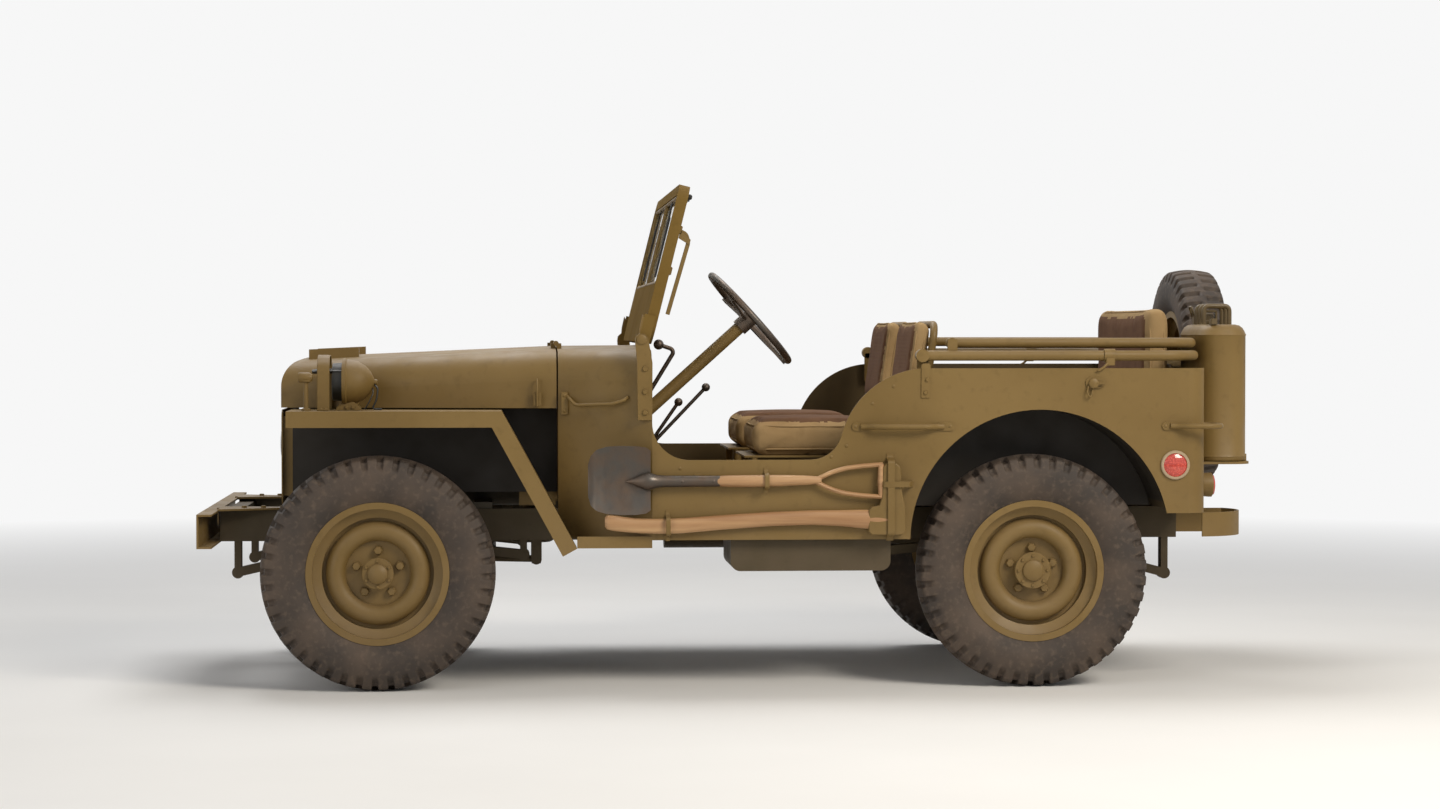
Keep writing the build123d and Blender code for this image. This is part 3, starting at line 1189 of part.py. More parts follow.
# Rear bench between the wheel boxes
BENCH_HALF = 425.0
BENCH_BACK_X = (REAR_X - 130.0, REAR_X - 52.0)
BENCH_BACK_Z = (FLOOR_TOP + 280.0, FLOOR_TOP + 632.0)
BENCH_SEAT_X = (REAR_X - 506.0, REAR_X - 134.0)
BENCH_PAN_TOP = FLOOR_TOP + 130.0
BENCH_CUSHION_H = 100.0
BENCH_HOOP_TOP = BOW_LOW_Z - BOW_R - GAP - SEAT_TUBE_R - 8.0
with BuildPart() as bench_frame:
    hoop_x = BENCH_BACK_X[1] + FIT + SEAT_TUBE_R
    half = BENCH_HALF - 30.0
    hoop = [
        (hoop_x, -half, FLOOR_TOP + FIT),
        (hoop_x, -half, BENCH_HOOP_TOP),
        (hoop_x, half, BENCH_HOOP_TOP),
        (hoop_x, half, FLOOR_TOP + FIT),
    ]
    add(tube(hoop, 50.0, SEAT_TUBE_R))
    with Locations(((BENCH_SEAT_X[0] + hoop_x) / 2, 0, BENCH_PAN_TOP - PAN_SHEET / 2)):
        Box(hoop_x - BENCH_SEAT_X[0] - 20.0, 2 * half, PAN_SHEET)
    for side in (-1, 1):
        leg_x, leg_y = BENCH_SEAT_X[0] + 40.0, side * (half - 20.0)
        add(tube([(leg_x, leg_y, FLOOR_TOP + FIT), (leg_x, leg_y, BENCH_PAN_TOP)], 0, SEAT_TUBE_R))
save(bench_frame.part, "bench_frame")

with BuildPart() as bench_cushion:
    with Locations((sum(BENCH_SEAT_X) / 2, 0, BENCH_PAN_TOP + FIT + BENCH_CUSHION_H / 2)):
        Box(BENCH_SEAT_X[1] - BENCH_SEAT_X[0], 2 * BENCH_HALF, BENCH_CUSHION_H)
    fillet(bench_cushion.edges().filter_by(Axis.Z), 30.0)
    fillet(bench_cushion.faces().sort_by(Axis.Z)[-1].edges(), 24.0)
with BuildPart() as bench_pads:
    with Locations((sum(BENCH_BACK_X) / 2, 0, sum(BENCH_BACK_Z) / 2)):
        Box(BENCH_BACK_X[1] - BENCH_BACK_X[0], 2 * BENCH_HALF, BENCH_BACK_Z[1] - BENCH_BACK_Z[0])
    fillet(bench_pads.edges().filter_by(Axis.X), 45.0)
    fillet(bench_pads.faces().sort_by(Axis.X)[0].edges(), 22.0)
    fillet(bench_pads.faces().sort_by(Axis.X)[-1].edges(), 30.0)
    add(bench_cushion.part)
save(bench_pads.part, "bench_pads")

# Steering column with its gear housing, and the steering wheel
column_way = (math.cos(math.radians(COLUMN_ANGLE)), 0, math.sin(math.radians(COLUMN_ANGLE)))
HUB_DROP = 46.0


def on_column(distance):
    """A point of the column's axis, by its distance up from the steering wheel's centre."""
    return (STEER_X + column_way[0] * distance, STEER_Y, STEER_Z + column_way[2] * distance)


column_plane = Plane(origin=on_column(0), x_dir=(0, 1, 0), z_dir=column_way)
BOX_TOP_Z = RAIL_TOP + 55.0
BOX_Z = RAIL_TOP + 39.0
BOX_X = (PITMAN_X - 55.0, SCUTTLE_X - GAP)
BOX_Y = (STEER_Y - 22.0, -258.0)
column_foot_x = STEER_X - (STEER_Z - BOX_TOP_Z) / COLUMN_SLOPE - 20.0
column_foot = (column_foot_x, STEER_Y, BOX_TOP_Z - 20.0 * COLUMN_SLOPE)
with BuildPart() as steering_column:
    add(tube([on_column(-HUB_DROP - FIT), column_foot], 0, COLUMN_R))
    with Locations((sum(BOX_X) / 2, sum(BOX_Y) / 2, BOX_Z)):
        Box(BOX_X[1] - BOX_X[0], BOX_Y[1] - BOX_Y[0], 2 * (BOX_Z - RAIL_TOP - FIT - 10.0))
    shaft_house_y = (PITMAN_Y + PITMAN_HALF + 6.0, BOX_Y[1])
    with Locations((PITMAN_X, sum(shaft_house_y) / 2, RAIL_TOP)):
        Box(84.0, shaft_house_y[1] - shaft_house_y[0], 90.0)
    add(rod_y(PITMAN_X, PITMAN_Z, PITMAN_Y - PITMAN_HALF - 2.0, BOX_Y[1] - 4.0, 12.0))
    with Locations((DASH_X - FIT - 5.0, STEER_Y, DASH_BOTTOM)):
        Box(10.0, 50.0, 70.0)
save(steering_column.part, "steering_column")

with BuildPart() as steering_wheel:
    with Locations(column_plane.location):
        Torus(STEER_R, STEER_RIM)
        with PolarLocations(0, 3, start_angle=30):
            with Locations((STEER_R / 2, 0, -14.0)):
                Box(STEER_R, 16.0, 7.0)
            with Locations((STEER_R - 8.0, 0, -8.0)):
                Box(12.0, 16.0, 18.0)
    with Locations(Plane(origin=on_column(-HUB_DROP / 2), z_dir=column_way).location):
        Cylinder(27.0, HUB_DROP)
save(steering_wheel.part, "steering_wheel")

# Control levers on the tunnel and three pedals
def in_cab(points):
    """Points written from the toe board's foot: how far behind it, across, and over the floor."""
    return [(TOE_X + x, y, FLOOR_TOP + z) for x, y, z in points]


GEAR_LEVER = [(0.0, -30.0, 112.0), (130.0, -52.0, 292.0), (248.0, -60.0, 486.0), (194.0, -60.0, 504.0)]
AXLE_LEVER = [(100.0, 40.0, 52.0), (194.0, 44.0, 192.0), (356.0, 44.0, 362.0)]
RANGE_LEVER = [(100.0, 90.0, 52.0), (192.0, 94.0, 202.0), (268.0, 94.0, 312.0)]
LEVERS = [
    # points from the foot to the grip, bend radius, rod radius, knob radius
    (in_cab(GEAR_LEVER), 14.0, 7.0, 17.0),
    (in_cab(AXLE_LEVER), 30.0, 6.0, 14.0),
    (in_cab(RANGE_LEVER), 30.0, 6.0, 14.0),
]
PEDALS_Y = (-455.0, -262.0, -205.0)
PEDAL_X = TOE_X - 40.0
PEDAL_Z = FLOOR_TOP + 182.0
PEDAL_PIVOT_Z = FLOOR_TOP + 260.0
with BuildPart() as levers:
    for route, bend, rod_r, knob_r in LEVERS:
        add(tube(route, bend, rod_r))
        with Locations(route[-1]):
            Sphere(knob_r)
        with Locations((route[0][0], route[0][1], route[0][2] + 8.0)):
            Cone(30.0, 14.0, 24.0)
    with BuildSketch(Plane.XZ.offset(-TUNNEL_HALF)):
        with BuildLine():
            Polyline(
                (SCUTTLE_X + PANEL + FIT, TUNNEL_TOP + FIT),
                (TUNNEL_BEND_X, TUNNEL_BEND_Z + FIT),
                (TUNNEL_REAR_X, FLOOR_TOP + FIT),
                (TUNNEL_REAR_X, FLOOR_TOP - 200.0),
                (SCUTTLE_X, FLOOR_TOP - 200.0),
                (SCUTTLE_X, TUNNEL_TOP + FIT),
                close=True,
            )
        make_face()
    extrude(amount=2 * TUNNEL_HALF, mode=Mode.SUBTRACT)
    for y in PEDALS_Y:
        with Locations((PEDAL_X, y, PEDAL_Z)):
            Box(10.0, 58.0, 70.0, rotation=(0, -30, 0))
        pivot = (SCUTTLE_X + PANEL + GAP, y, PEDAL_PIVOT_Z)
        add(tube([(PEDAL_X - 2.0, y, PEDAL_Z + 3.0), pivot], 0, 8.0))
        with Locations((SCUTTLE_X + PANEL + FIT + 4.0, y, PEDAL_PIVOT_Z - 2.0)):
            Box(8.0, 30.0, 40.0)
save(levers.part, "levers")

# Windscreen: a lower panel and frame in one pressing, with two hinge arms outside the scuttle
screen_turn = Location((SCREEN_PIVOT_X, 0, SCREEN_PIVOT_Z), (0, SCREEN_RAKE, 0))
SCREEN_BOTTOM = -6.0
SCREEN_TOP = SCREEN_BOTTOM + SCREEN_HEIGHT
screen_mid_x = SCREEN_SET_BACK
with BuildPart() as screen_blank:
    with BuildSketch(Plane.YZ.offset(screen_mid_x - SCREEN_DEPTH / 2)):
        with Locations((0, (SCREEN_BOTTOM + SCREEN_TOP) / 2)):
            RectangleRounded(2 * SCREEN_HALF, SCREEN_HEIGHT, SCREEN_CORNER_R)
        low = SCREEN_BOTTOM + SCREEN_PANEL + SCREEN_POST
        high = SCREEN_TOP - SCREEN_POST
        with Locations((0, (low + high) / 2)):
            RectangleRounded(
                2 * (SCREEN_HALF - SCREEN_POST), high - low, 20.0, mode=Mode.SUBTRACT
            )
        low = SCREEN_BOTTOM + SCREEN_POST
        high = SCREEN_BOTTOM + SCREEN_PANEL
    extrude(amount=SCREEN_DEPTH)
    with Locations((screen_mid_x + 8.0, 0, (low + high) / 2)):
        Box(SCREEN_DEPTH - 8.0, 2 * (SCREEN_HALF - SCREEN_POST), high - low, mode=Mode.SUBTRACT)
    for side in (-1, 1):
        with Locations((screen_mid_x / 2, side * (SCREEN_HALF + 3.5), 30.0)):
            Box(34.0, 7.0, 100.0)
        with Locations((0, side * (SCREEN_HALF + 3.5), 0)):
            Cylinder(17.0, 7.0, rotation=(90, 0, 0))
with BuildPart() as windscreen_frame:
    add(screen_blank.part.moved(screen_turn))
save(windscreen_frame.part, "windscreen_frame")

with BuildPart() as glass_blank:
    low = SCREEN_BOTTOM + SCREEN_PANEL + SCREEN_POST + FIT
    high = SCREEN_TOP - SCREEN_POST - FIT
    with Locations((screen_mid_x, 0, (low + high) / 2)):
        Box(GLASS, 2 * (SCREEN_HALF - SCREEN_POST - FIT), high - low)
    fillet(glass_blank.edges().filter_by(Axis.X), 20.0)
    with Locations((screen_mid_x, 0, (low + high) / 2)):
        Box(16.0, 24.0, high - low)
with BuildPart() as windscreen_glass:
    add(glass_blank.part.moved(screen_turn))
save(windscreen_glass.part, "windscreen_glass")

# Hinge straps on the scuttle's sides that carry the windscreen
STRAP_Y = SCREEN_HALF + 7.0 + FIT
with BuildPart() as screen_straps:
    with BuildSketch(Plane.XZ.offset(STRAP_Y)):
        with BuildLine():
            Polyline(
                (SCREEN_PIVOT_X - 20.0, SCREEN_PIVOT_Z),
                (SCREEN_PIVOT_X + 18.0, SCREEN_PIVOT_Z),
                (DOOR_FRONT_X - 8.0, SCUTTLE_TOP - 60.0),
                (DOOR_FRONT_X - 8.0, SCUTTLE_TOP - 210.0),
                (DOOR_FRONT_X - 42.0, SCUTTLE_TOP - 210.0),
                (DOOR_FRONT_X - 50.0, SCUTTLE_TOP - 60.0),
                close=True,
            )
        make_face()
        with Locations((SCREEN_PIVOT_X, SCREEN_PIVOT_Z)):
            Circle(20.0)
    extrude(amount=32.0)
    add(scuttle_outer, mode=Mode.SUBTRACT)
    with Locations((SCREEN_PIVOT_X, -STRAP_Y - 40.0, SCREEN_PIVOT_Z)):
        Box(200.0, 56.0, 500.0, mode=Mode.SUBTRACT)
    mirror(about=Plane.XZ)


def bow(pivot_x, z, y, arm_x):
    """A bow that lies flat: two arms from the pivot rearwards and a cross tube behind."""
    route = [(arm_x, -y, z), (BOW_END_X, -y, z), (BOW_END_X, y, z), (arm_x, y, z)]
    return tube(route, BOW_CORNER_R, BOW_R)


# Two bows of the hood frame, the upper one carried by the lower one
with BuildPart() as bow_lower:
    add(bow(BOW_PIVOT_X, BOW_LOW_Z, BOW_Y, BOW_PIVOT_X))
    for side in (-1, 1):
        with Locations((BOW_HIGH_X, side * (BOW_Y - 8.0), (BOW_LOW_Z + BOW_HIGH_Z + 12.0) / 2)):
            Box(30.0, 10.0, BOW_HIGH_Z + 12.0 - BOW_LOW_Z)
        with Locations((BOW_PIVOT_X, side * BOW_Y, BOW_LOW_Z)):
            Cylinder(BOW_R + 4.0, 2 * BOW_R, rotation=(90, 0, 0))
save(bow_lower.part, "bow_lower")

with BuildPart() as bow_upper:
    add(bow(BOW_HIGH_X, BOW_HIGH_Z, BOW_HIGH_Y, BOW_HIGH_X))
    for side in (-1, 1):
        with Locations((BOW_HIGH_X, side * (BOW_HIGH_Y + 3.0), BOW_HIGH_Z)):
            Cylinder(BOW_R, 2 * (BOW_Y - 13.0 - PIVOT_FIT - BOW_HIGH_Y - 3.0), rotation=(90, 0, 0))
save(bow_upper.part, "bow_upper")

# Brackets on the body: the windscreen's straps, the bows' ears and the tools' clips
TOOL_Y = -SIDE_Y - 22.0
TOOL_R = 14.0
SHOVEL_Z = FLOOR_TOP + 88.0
AXE_Z = FLOOR_TOP - 32.0
CLIPS = [
    (DOOR_FRONT_X + 170.0, SHOVEL_Z),
    (DOOR_FRONT_X + 490.0, SHOVEL_Z),
    (DOOR_FRONT_X + 60.0, AXE_Z),
    (DOOR_FRONT_X + 440.0, AXE_Z),
]
EAR_LOW_Z = BODY_TOP - 63.0
with BuildPart() as body_brackets:
    add(screen_straps.part)
    wall_y = -SIDE_Y - FIT
    for x, z in CLIPS:
        with Locations((x, (wall_y + TOOL_Y - TOOL_R - 5.0) / 2, z)):
            Box(24.0, wall_y - TOOL_Y + TOOL_R + 5.0, 40.0)
        with Locations((x, TOOL_Y, z)):
            Cylinder(TOOL_R + FIT, 60.0, rotation=(0, 90, 0), mode=Mode.SUBTRACT)
    for side in (-1, 1):
        inner_y = side * (BOW_Y - BOW_R - FIT - 4.0)
        with Locations((BOW_PIVOT_X + 4.0, inner_y, (BOW_LOW_Z + EAR_LOW_Z) / 2)):
            Box(36.0, 8.0, BOW_LOW_Z - EAR_LOW_Z)
        with Locations((BOW_PIVOT_X, inner_y, BOW_LOW_Z)):
            Cylinder(20.0, 8.0, rotation=(90, 0, 0))
        gap = SIDE_Y - PANEL - FIT - abs(inner_y)
        with Locations((BOW_PIVOT_X + 20.0, side * (abs(inner_y) + gap / 2), EAR_LOW_Z + 18.0)):
            Box(30.0, gap, 36.0)
save(body_brackets.part, "body_brackets")


# Grab handles: one along each side and one round each rear corner
GRIP_R = 9.0
GRIP_BEND_R = 26.0
GRIP_OUT = SIDE_Y + 41.0
GRIP_Z = BODY_TOP - 179.0
GRIP_X = (QUARTER_X - 230.0, QUARTER_X + 70.0)
CORNER_GRIP_X = (REAR_X - 146.0, REAR_X + 40.0)
CORNER_GRIP_Y = -SIDE_Y + 110.0
wall = SIDE_Y + FIT
SIDE_GRIP = [
    (GRIP_X[0], -wall, GRIP_Z),
    (GRIP_X[0], -GRIP_OUT, GRIP_Z),
    (GRIP_X[1], -GRIP_OUT, GRIP_Z),
    (GRIP_X[1], -wall, GRIP_Z),
]
CORNER_GRIP = [
    (CORNER_GRIP_X[0], -wall, GRIP_Z),
    (CORNER_GRIP_X[0], -GRIP_OUT, GRIP_Z),
    (CORNER_GRIP_X[1], -GRIP_OUT, GRIP_Z),
    (CORNER_GRIP_X[1], CORNER_GRIP_Y, GRIP_Z),
    (REAR_X + FIT, CORNER_GRIP_Y, GRIP_Z),
]
with BuildPart() as grab_handles:
    add(tube(SIDE_GRIP, GRIP_BEND_R, GRIP_R))
    add(tube(CORNER_GRIP, GRIP_BEND_R, GRIP_R))
    mirror(about=Plane.XZ)
save(grab_handles.part, "grab_handles")

# Carriers on the tail for the fuel can and the spare wheel
TRAY_SHEET = 6.0
TRAY_FLOOR = 8.0
TRAY_LIP_H = 30.0
can_x = REAR_X + FIT + TRAY_SHEET + FIT
TRAY_RIM = 14.0
tray_x = REAR_X + FIT + (CAN_D + TRAY_RIM) / 2
tray_low = CAN_BOTTOM - FIT - TRAY_FLOOR
with BuildPart() as tail_carriers:
    with Locations((REAR_X + FIT + TRAY_SHEET / 2, CAN_Y, CAN_BOTTOM + 130.0)):
        Box(TRAY_SHEET, CAN_W - 20.0, 280.0)
    with Locations((tray_x, CAN_Y, tray_low + TRAY_FLOOR / 2)):
        Box(CAN_D + TRAY_RIM, CAN_W + TRAY_RIM, TRAY_FLOOR)
    fillet(tail_carriers.edges().filter_by(Axis.Z).sort_by(Axis.X)[-2:], 60.0)
    lip_x = can_x + CAN_D + FIT + TRAY_SHEET / 2
    with Locations((lip_x, CAN_Y, tray_low + TRAY_LIP_H / 2)):
        Box(TRAY_SHEET, CAN_W - 140.0, TRAY_LIP_H)
    with Locations((REAR_X + FIT + 4.0, SPARE_Y, SPARE_Z - 130.0)):
        Box(8.0, 300.0, 300.0)
    reach = SPARE_X - DISC_SHEET - FIT
    with Locations(((REAR_X + FIT + reach) / 2, SPARE_Y, SPARE_Z)):
        Cylinder(60.0, reach - REAR_X - FIT, rotation=(0, 90, 0))
    with Locations((REAR_X + FIT + 36.0, SPARE_Y, SPARE_Z - 120.0)):
        Box(72.0, 60.0, 200.0)
save(tail_carriers.part, "tail_carriers")

# Fuel can: a round-ended can with a domed top, three handles and a cap
CAN_BODY_H = CAN_H - CAN_GRIP_H
CAN_HANDLES_Y = (CAN_Y - 52.0, CAN_Y, CAN_Y + 52.0)
with BuildPart() as fuel_can:
    with Locations((can_x + CAN_D / 2, CAN_Y, CAN_BOTTOM + CAN_BODY_H / 2)):
        Box(CAN_D, CAN_W, CAN_BODY_H)
    fillet(fuel_can.edges().filter_by(Axis.Z), 70.0)
    fillet(fuel_can.faces().sort_by(Axis.Z)[-1].edges(), 30.0)
    for y in CAN_HANDLES_Y:
        with Locations((can_x + CAN_D / 2, y, CAN_BOTTOM + CAN_H - CAN_GRIP_H / 2 - 3.0)):
            Box(96.0, 14.0, CAN_GRIP_H + 6.0)
        with Locations((can_x + CAN_D / 2, y, CAN_BOTTOM + CAN_H - 32.0)):
            Box(66.0, 15.0, 30.0, mode=Mode.SUBTRACT)
    with Locations((can_x + CAN_D / 2, CAN_Y + 110.0, CAN_BOTTOM + CAN_BODY_H + 14.0)):
        Cylinder(27.0, 56.0)
save(fuel_can.part, "fuel_can")

# Spare wheel
spare_place = Location((SPARE_X, SPARE_Y, SPARE_Z), (0, 0, -90))
with BuildPart() as spare_tyre:
    add(TYRE.moved(spare_place))
save(spare_tyre.part, "spare_tyre")
with BuildPart() as spare_blank:
    add(wheel_blank(HUB_REACH, 25.0, 62.0))
    with Locations((0, -TYRE_R - DISC_SHEET, 0)):
        Cylinder(DRUM_R + 2.0, 2 * TYRE_R, rotation=(90, 0, 0), mode=Mode.SUBTRACT)
    Cylinder(HUB_R + 5.0, 2 * TYRE_R, rotation=(90, 0, 0), mode=Mode.SUBTRACT)
with BuildPart() as spare_wheel:
    add(spare_blank.part.moved(spare_place))
save(spare_wheel.part, "spare_wheel")

# Lamps: two behind the grille, a hooded one on the left fender, and two small markers
MARKER_X = NOSE_X + 90.0
MARKER_Y = SIDE_Y - 95.0
MARKER_Z = FENDER_TOP + 102.0
MARKER_R = 15.0
LAMP_X = NOSE_X + 201.0
LAMP_Y = 175.0 - SIDE_Y
LAMP_Z = FENDER_TOP + 87.0
LAMP_R = 70.0
GUARD_X = NOSE_X + 143.0
GUARD_W = 38.0
GUARD_SHEET = 5.0
GUARD_HALF = 90.0
GUARD_TOP = FENDER_TOP + 171.0
fender_seat = FENDER_TOP + FIT
with BuildPart() as lamp_bowl:
    with BuildSketch(Plane.XY):
        with BuildLine():
            Polyline((0, 0), (0, LAMP_R), (20.0, LAMP_R))
            ThreePointArc((20.0, LAMP_R), (70.0, 0.74 * LAMP_R), (96.0, 0))
            Line((96.0, 0), (0, 0))
        make_face()
    revolve(axis=Axis.X)
with BuildPart() as front_lamps:
    for inset, mode in ((0.0, Mode.ADD), (GUARD_SHEET, Mode.SUBTRACT)):
        with BuildSketch(Plane.YZ.offset(GUARD_X - GUARD_W / 2)):
            with Locations((LAMP_Y, fender_seat)):
                Rectangle(
                    2 * (GUARD_HALF - inset),
                    GUARD_TOP - inset - fender_seat,
                    align=(Align.CENTER, Align.MIN),
                )
            fillet(vertices().sort_by(Axis.Y)[-2:], GUARD_HALF - GUARD_SHEET - inset)
        extrude(amount=GUARD_W, mode=mode)
    for side in (-1, 1):
        with Locations((NOSE_X + PANEL + FIT + 3.0, side * HEADLAMP_Y, HEADLAMP_Z)):
            Cylinder(HEADLAMP_HOLE_R + 7.0, 6.0, rotation=(0, 90, 0))
        with Locations((NOSE_X + PANEL + FIT + 30.0, side * HEADLAMP_Y, HEADLAMP_Z)):
            Cylinder(70.0, 54.0, rotation=(0, 90, 0))
        with Locations((MARKER_X, side * MARKER_Y, (fender_seat + MARKER_Z) / 2)):
            Cylinder(8.0, MARKER_Z - fender_seat)
        with Locations((MARKER_X, side * MARKER_Y, MARKER_Z)):
            Cylinder(MARKER_R, 46.0, rotation=(0, 90, 0))
    add(lamp_bowl.part.moved(Location((LAMP_X, LAMP_Y, LAMP_Z))))
    with Locations((LAMP_X + 34.0, LAMP_Y, (fender_seat + LAMP_Z - 50.0) / 2)):
        Cylinder(12.0, LAMP_Z - 50.0 - fender_seat)
    with Locations((LAMP_X + 16.0, LAMP_Y, fender_seat + 6.0)):
        Box(70.0, 60.0, 12.0)
save(front_lamps.part, "front_lamps")

# Rear lamps: two lenses at each side of the tail, and a reflector on each side panel
LENS_R = 38.0
LENS_Z = TAIL_BOTTOM + 83.0
with BuildPart() as rear_lamps:
    for side in (-1, 1):
        with Locations((REAR_X + FIT + 22.0, side * (SIDE_Y - 105.0), LENS_Z)):
            Cylinder(LENS_R, 44.0, rotation=(0, 90, 0))
        with Locations((REAR_X + FIT + 6.0, side * (SIDE_Y - 205.0), LENS_Z)):
            Cylinder(LENS_R, 12.0, rotation=(0, 90, 0))
        with Locations((REAR_X - 110.0, side * (SIDE_Y + FIT + 6.0), TAIL_BOTTOM + 151.0)):
            Cylinder(45.0, 12.0, rotation=(90, 0, 0))
save(rear_lamps.part, "rear_lamps")

# Tow hook at the middle of the tail
HOOK_Z = RAIL_TOP - 50.0
with BuildPart() as tow_hook:
    with Locations((RAIL_REAR_X + FIT + 5.0, 0, HOOK_Z)):
        Box(10.0, 110.0, 84.0)
    with Locations((RAIL_REAR_X + 30.0, 0, HOOK_Z)):
        Cylinder(22.0, 60.0, rotation=(0, 90, 0))
    with BuildSketch(Plane.XZ.offset(-18.0)):
        with Locations((RAIL_REAR_X + 92.0, HOOK_Z)):
            Circle(44.0)
            Circle(24.0, mode=Mode.SUBTRACT)
    extrude(amount=36.0)
save(tow_hook.part, "tow_hook")

# Tools on the left-hand side: a shovel and an axe, their steel heads and their wooden handles
BLADE = [
    (-199.0, -3.0),
    (-150.0, 87.0),
    (-40.0, 104.0),
    (-6.0, 52.0),
    (-6.0, -58.0),
    (-40.0, -103.0),
    (-150.0, -92.0),
]
AXE_HEAD = [(676.0, -28.0), (694.0, 178.0), (714.0, 178.0), (736.0, 32.0), (786.0, 20.0), (786.0, -28.0)]
SOCKET_X = DOOR_FRONT_X + 40.0
SOCKET_L = 130.0


def on_side(points, level):
    """Side view points written from the door's front edge and from a level."""
    return [(DOOR_FRONT_X + x, level + z) for x, z in points]


with BuildPart() as tool_heads:
    with BuildSketch(Plane.XZ.offset(-TOOL_Y + 2.0)):
        with BuildLine():
            Polyline(*on_side(BLADE, SHOVEL_Z), close=True)
        make_face()
    extrude(amount=-4.0)
    with Locations((SOCKET_X, TOOL_Y, SHOVEL_Z)):
        Cone(20.0, 16.5, SOCKET_L, rotation=(0, 90, 0))
    with Locations((SOCKET_X + 18.0, TOOL_Y, SHOVEL_Z)):
        Cylinder(TOOL_R + FIT, SOCKET_L - 10.0, rotation=(0, 90, 0), mode=Mode.SUBTRACT)
    with BuildSketch(Plane.XZ.offset(-TOOL_Y - 12.0)):
        with BuildLine():
            Polyline(*on_side(AXE_HEAD, AXE_Z), close=True)
        make_face()
    extrude(amount=24.0)
    with Locations((DOOR_FRONT_X + 650.0, TOOL_Y, AXE_Z)):
        Cylinder(TOOL_R + FIT, 150.0, rotation=(0, 90, 0), mode=Mode.SUBTRACT)
save(tool_heads.part, "tool_heads")

GRIP_END_X = DOOR_FRONT_X + 573.0
GRIP_SPREAD = 48.0
AXE_X = (DOOR_FRONT_X - 137.0, DOOR_FRONT_X + 725.0)
with BuildPart() as tool_handles:
    shaft_start = SOCKET_X - 40.0
    add(rod_x(shaft_start, GRIP_END_X - 8.0, TOOL_Y, SHOVEL_Z, TOOL_R))
    with Locations((GRIP_END_X, TOOL_Y, SHOVEL_Z)):
        Box(24.0, 20.0, 2 * GRIP_SPREAD + 14.0)
    for way in (-1, 1):
        with Locations((GRIP_END_X + 43.0, TOOL_Y, SHOVEL_Z + way * GRIP_SPREAD)):
            Box(80.0, 18.0, 14.0)
    with Locations((GRIP_END_X + 77.0, TOOL_Y, SHOVEL_Z)):
        Cylinder(11.0, 100.0)
    add(rod_x(*AXE_X, TOOL_Y, AXE_Z, TOOL_R))
save(tool_handles.part, "tool_handles")
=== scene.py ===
# %% [markdown]
# # An open army car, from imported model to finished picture
#
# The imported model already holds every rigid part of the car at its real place.
# This lesson keeps those parts and gives each one a finish. It then adds what a
# solid modeller leaves out: tyre tread, stuffed canvas, straps, wipers, nuts and
# lenses. Blender counts in metres: X runs to the rear, Y to the right, Z up.

import json
import math

import bmesh
import bpy
import numpy as np
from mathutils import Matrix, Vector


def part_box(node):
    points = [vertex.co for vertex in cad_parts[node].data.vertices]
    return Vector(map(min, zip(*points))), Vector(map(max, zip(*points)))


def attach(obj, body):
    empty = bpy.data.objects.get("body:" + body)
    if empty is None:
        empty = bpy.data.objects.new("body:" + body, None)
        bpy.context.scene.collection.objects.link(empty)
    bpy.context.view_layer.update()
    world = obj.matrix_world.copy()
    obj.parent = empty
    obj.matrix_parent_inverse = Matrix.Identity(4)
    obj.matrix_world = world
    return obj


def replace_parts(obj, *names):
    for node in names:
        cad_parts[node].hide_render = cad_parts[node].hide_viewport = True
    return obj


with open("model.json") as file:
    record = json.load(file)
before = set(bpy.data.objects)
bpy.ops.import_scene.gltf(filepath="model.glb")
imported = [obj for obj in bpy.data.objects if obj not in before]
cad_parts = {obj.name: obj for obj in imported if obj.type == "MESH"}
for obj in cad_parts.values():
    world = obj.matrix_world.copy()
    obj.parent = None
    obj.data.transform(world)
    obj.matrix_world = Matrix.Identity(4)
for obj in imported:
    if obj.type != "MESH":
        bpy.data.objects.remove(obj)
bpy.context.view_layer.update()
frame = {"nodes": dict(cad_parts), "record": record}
nodes = frame["nodes"]

# %% [markdown]
# ## Camera
#
# A long lens from ten metres away shows the side of a car almost without
# perspective. The camera stands level with the bonnet, a little ahead of the
# middle, and turns slightly to the rear, so that the tail's inner side shows.

# %% Camera
CAMERA_PLACE = (-0.762, -10.40, 1.103)
CAMERA_TURN = (88.696, 0.0, -4.026)  # degrees
camera_lens = bpy.data.cameras.new("camera")
camera_lens.sensor_width = 36.0
camera_lens.lens = 78.93
camera = bpy.data.objects.new("camera", camera_lens)
camera.location = CAMERA_PLACE
camera.rotation_euler = [math.radians(angle) for angle in CAMERA_TURN]
bpy.context.collection.objects.link(camera)
bpy.context.scene.camera = camera
bpy.context.scene.view_settings.view_transform = "Standard"
print("camera at", CAMERA_PLACE)

# %% [markdown]
# ## Light and floor
#
# Big area lamps work like softboxes: the wider the lamp, the softer the edge of
# each shadow. One warm key from the upper right of the picture shapes the body, a
# cooler fill keeps the shaded side readable, and a strip above draws a highlight
# along the bonnet. The world is white only for the camera and for reflections.


# %% Lamps, world and floor
def add_node(tree, kind, sockets=None, **settings):
    """One shader node: settings first, then sockets, each a number, a colour or another's output."""
    node = tree.nodes.new("ShaderNode" + kind)
    for key, value in settings.items():
        setattr(node, key, value)
    for socket, value in (sockets or {}).items():
        if isinstance(value, bpy.types.NodeSocket):
            tree.links.new(value, node.inputs[socket])
        else:
            node.inputs[socket].default_value = value
    return node


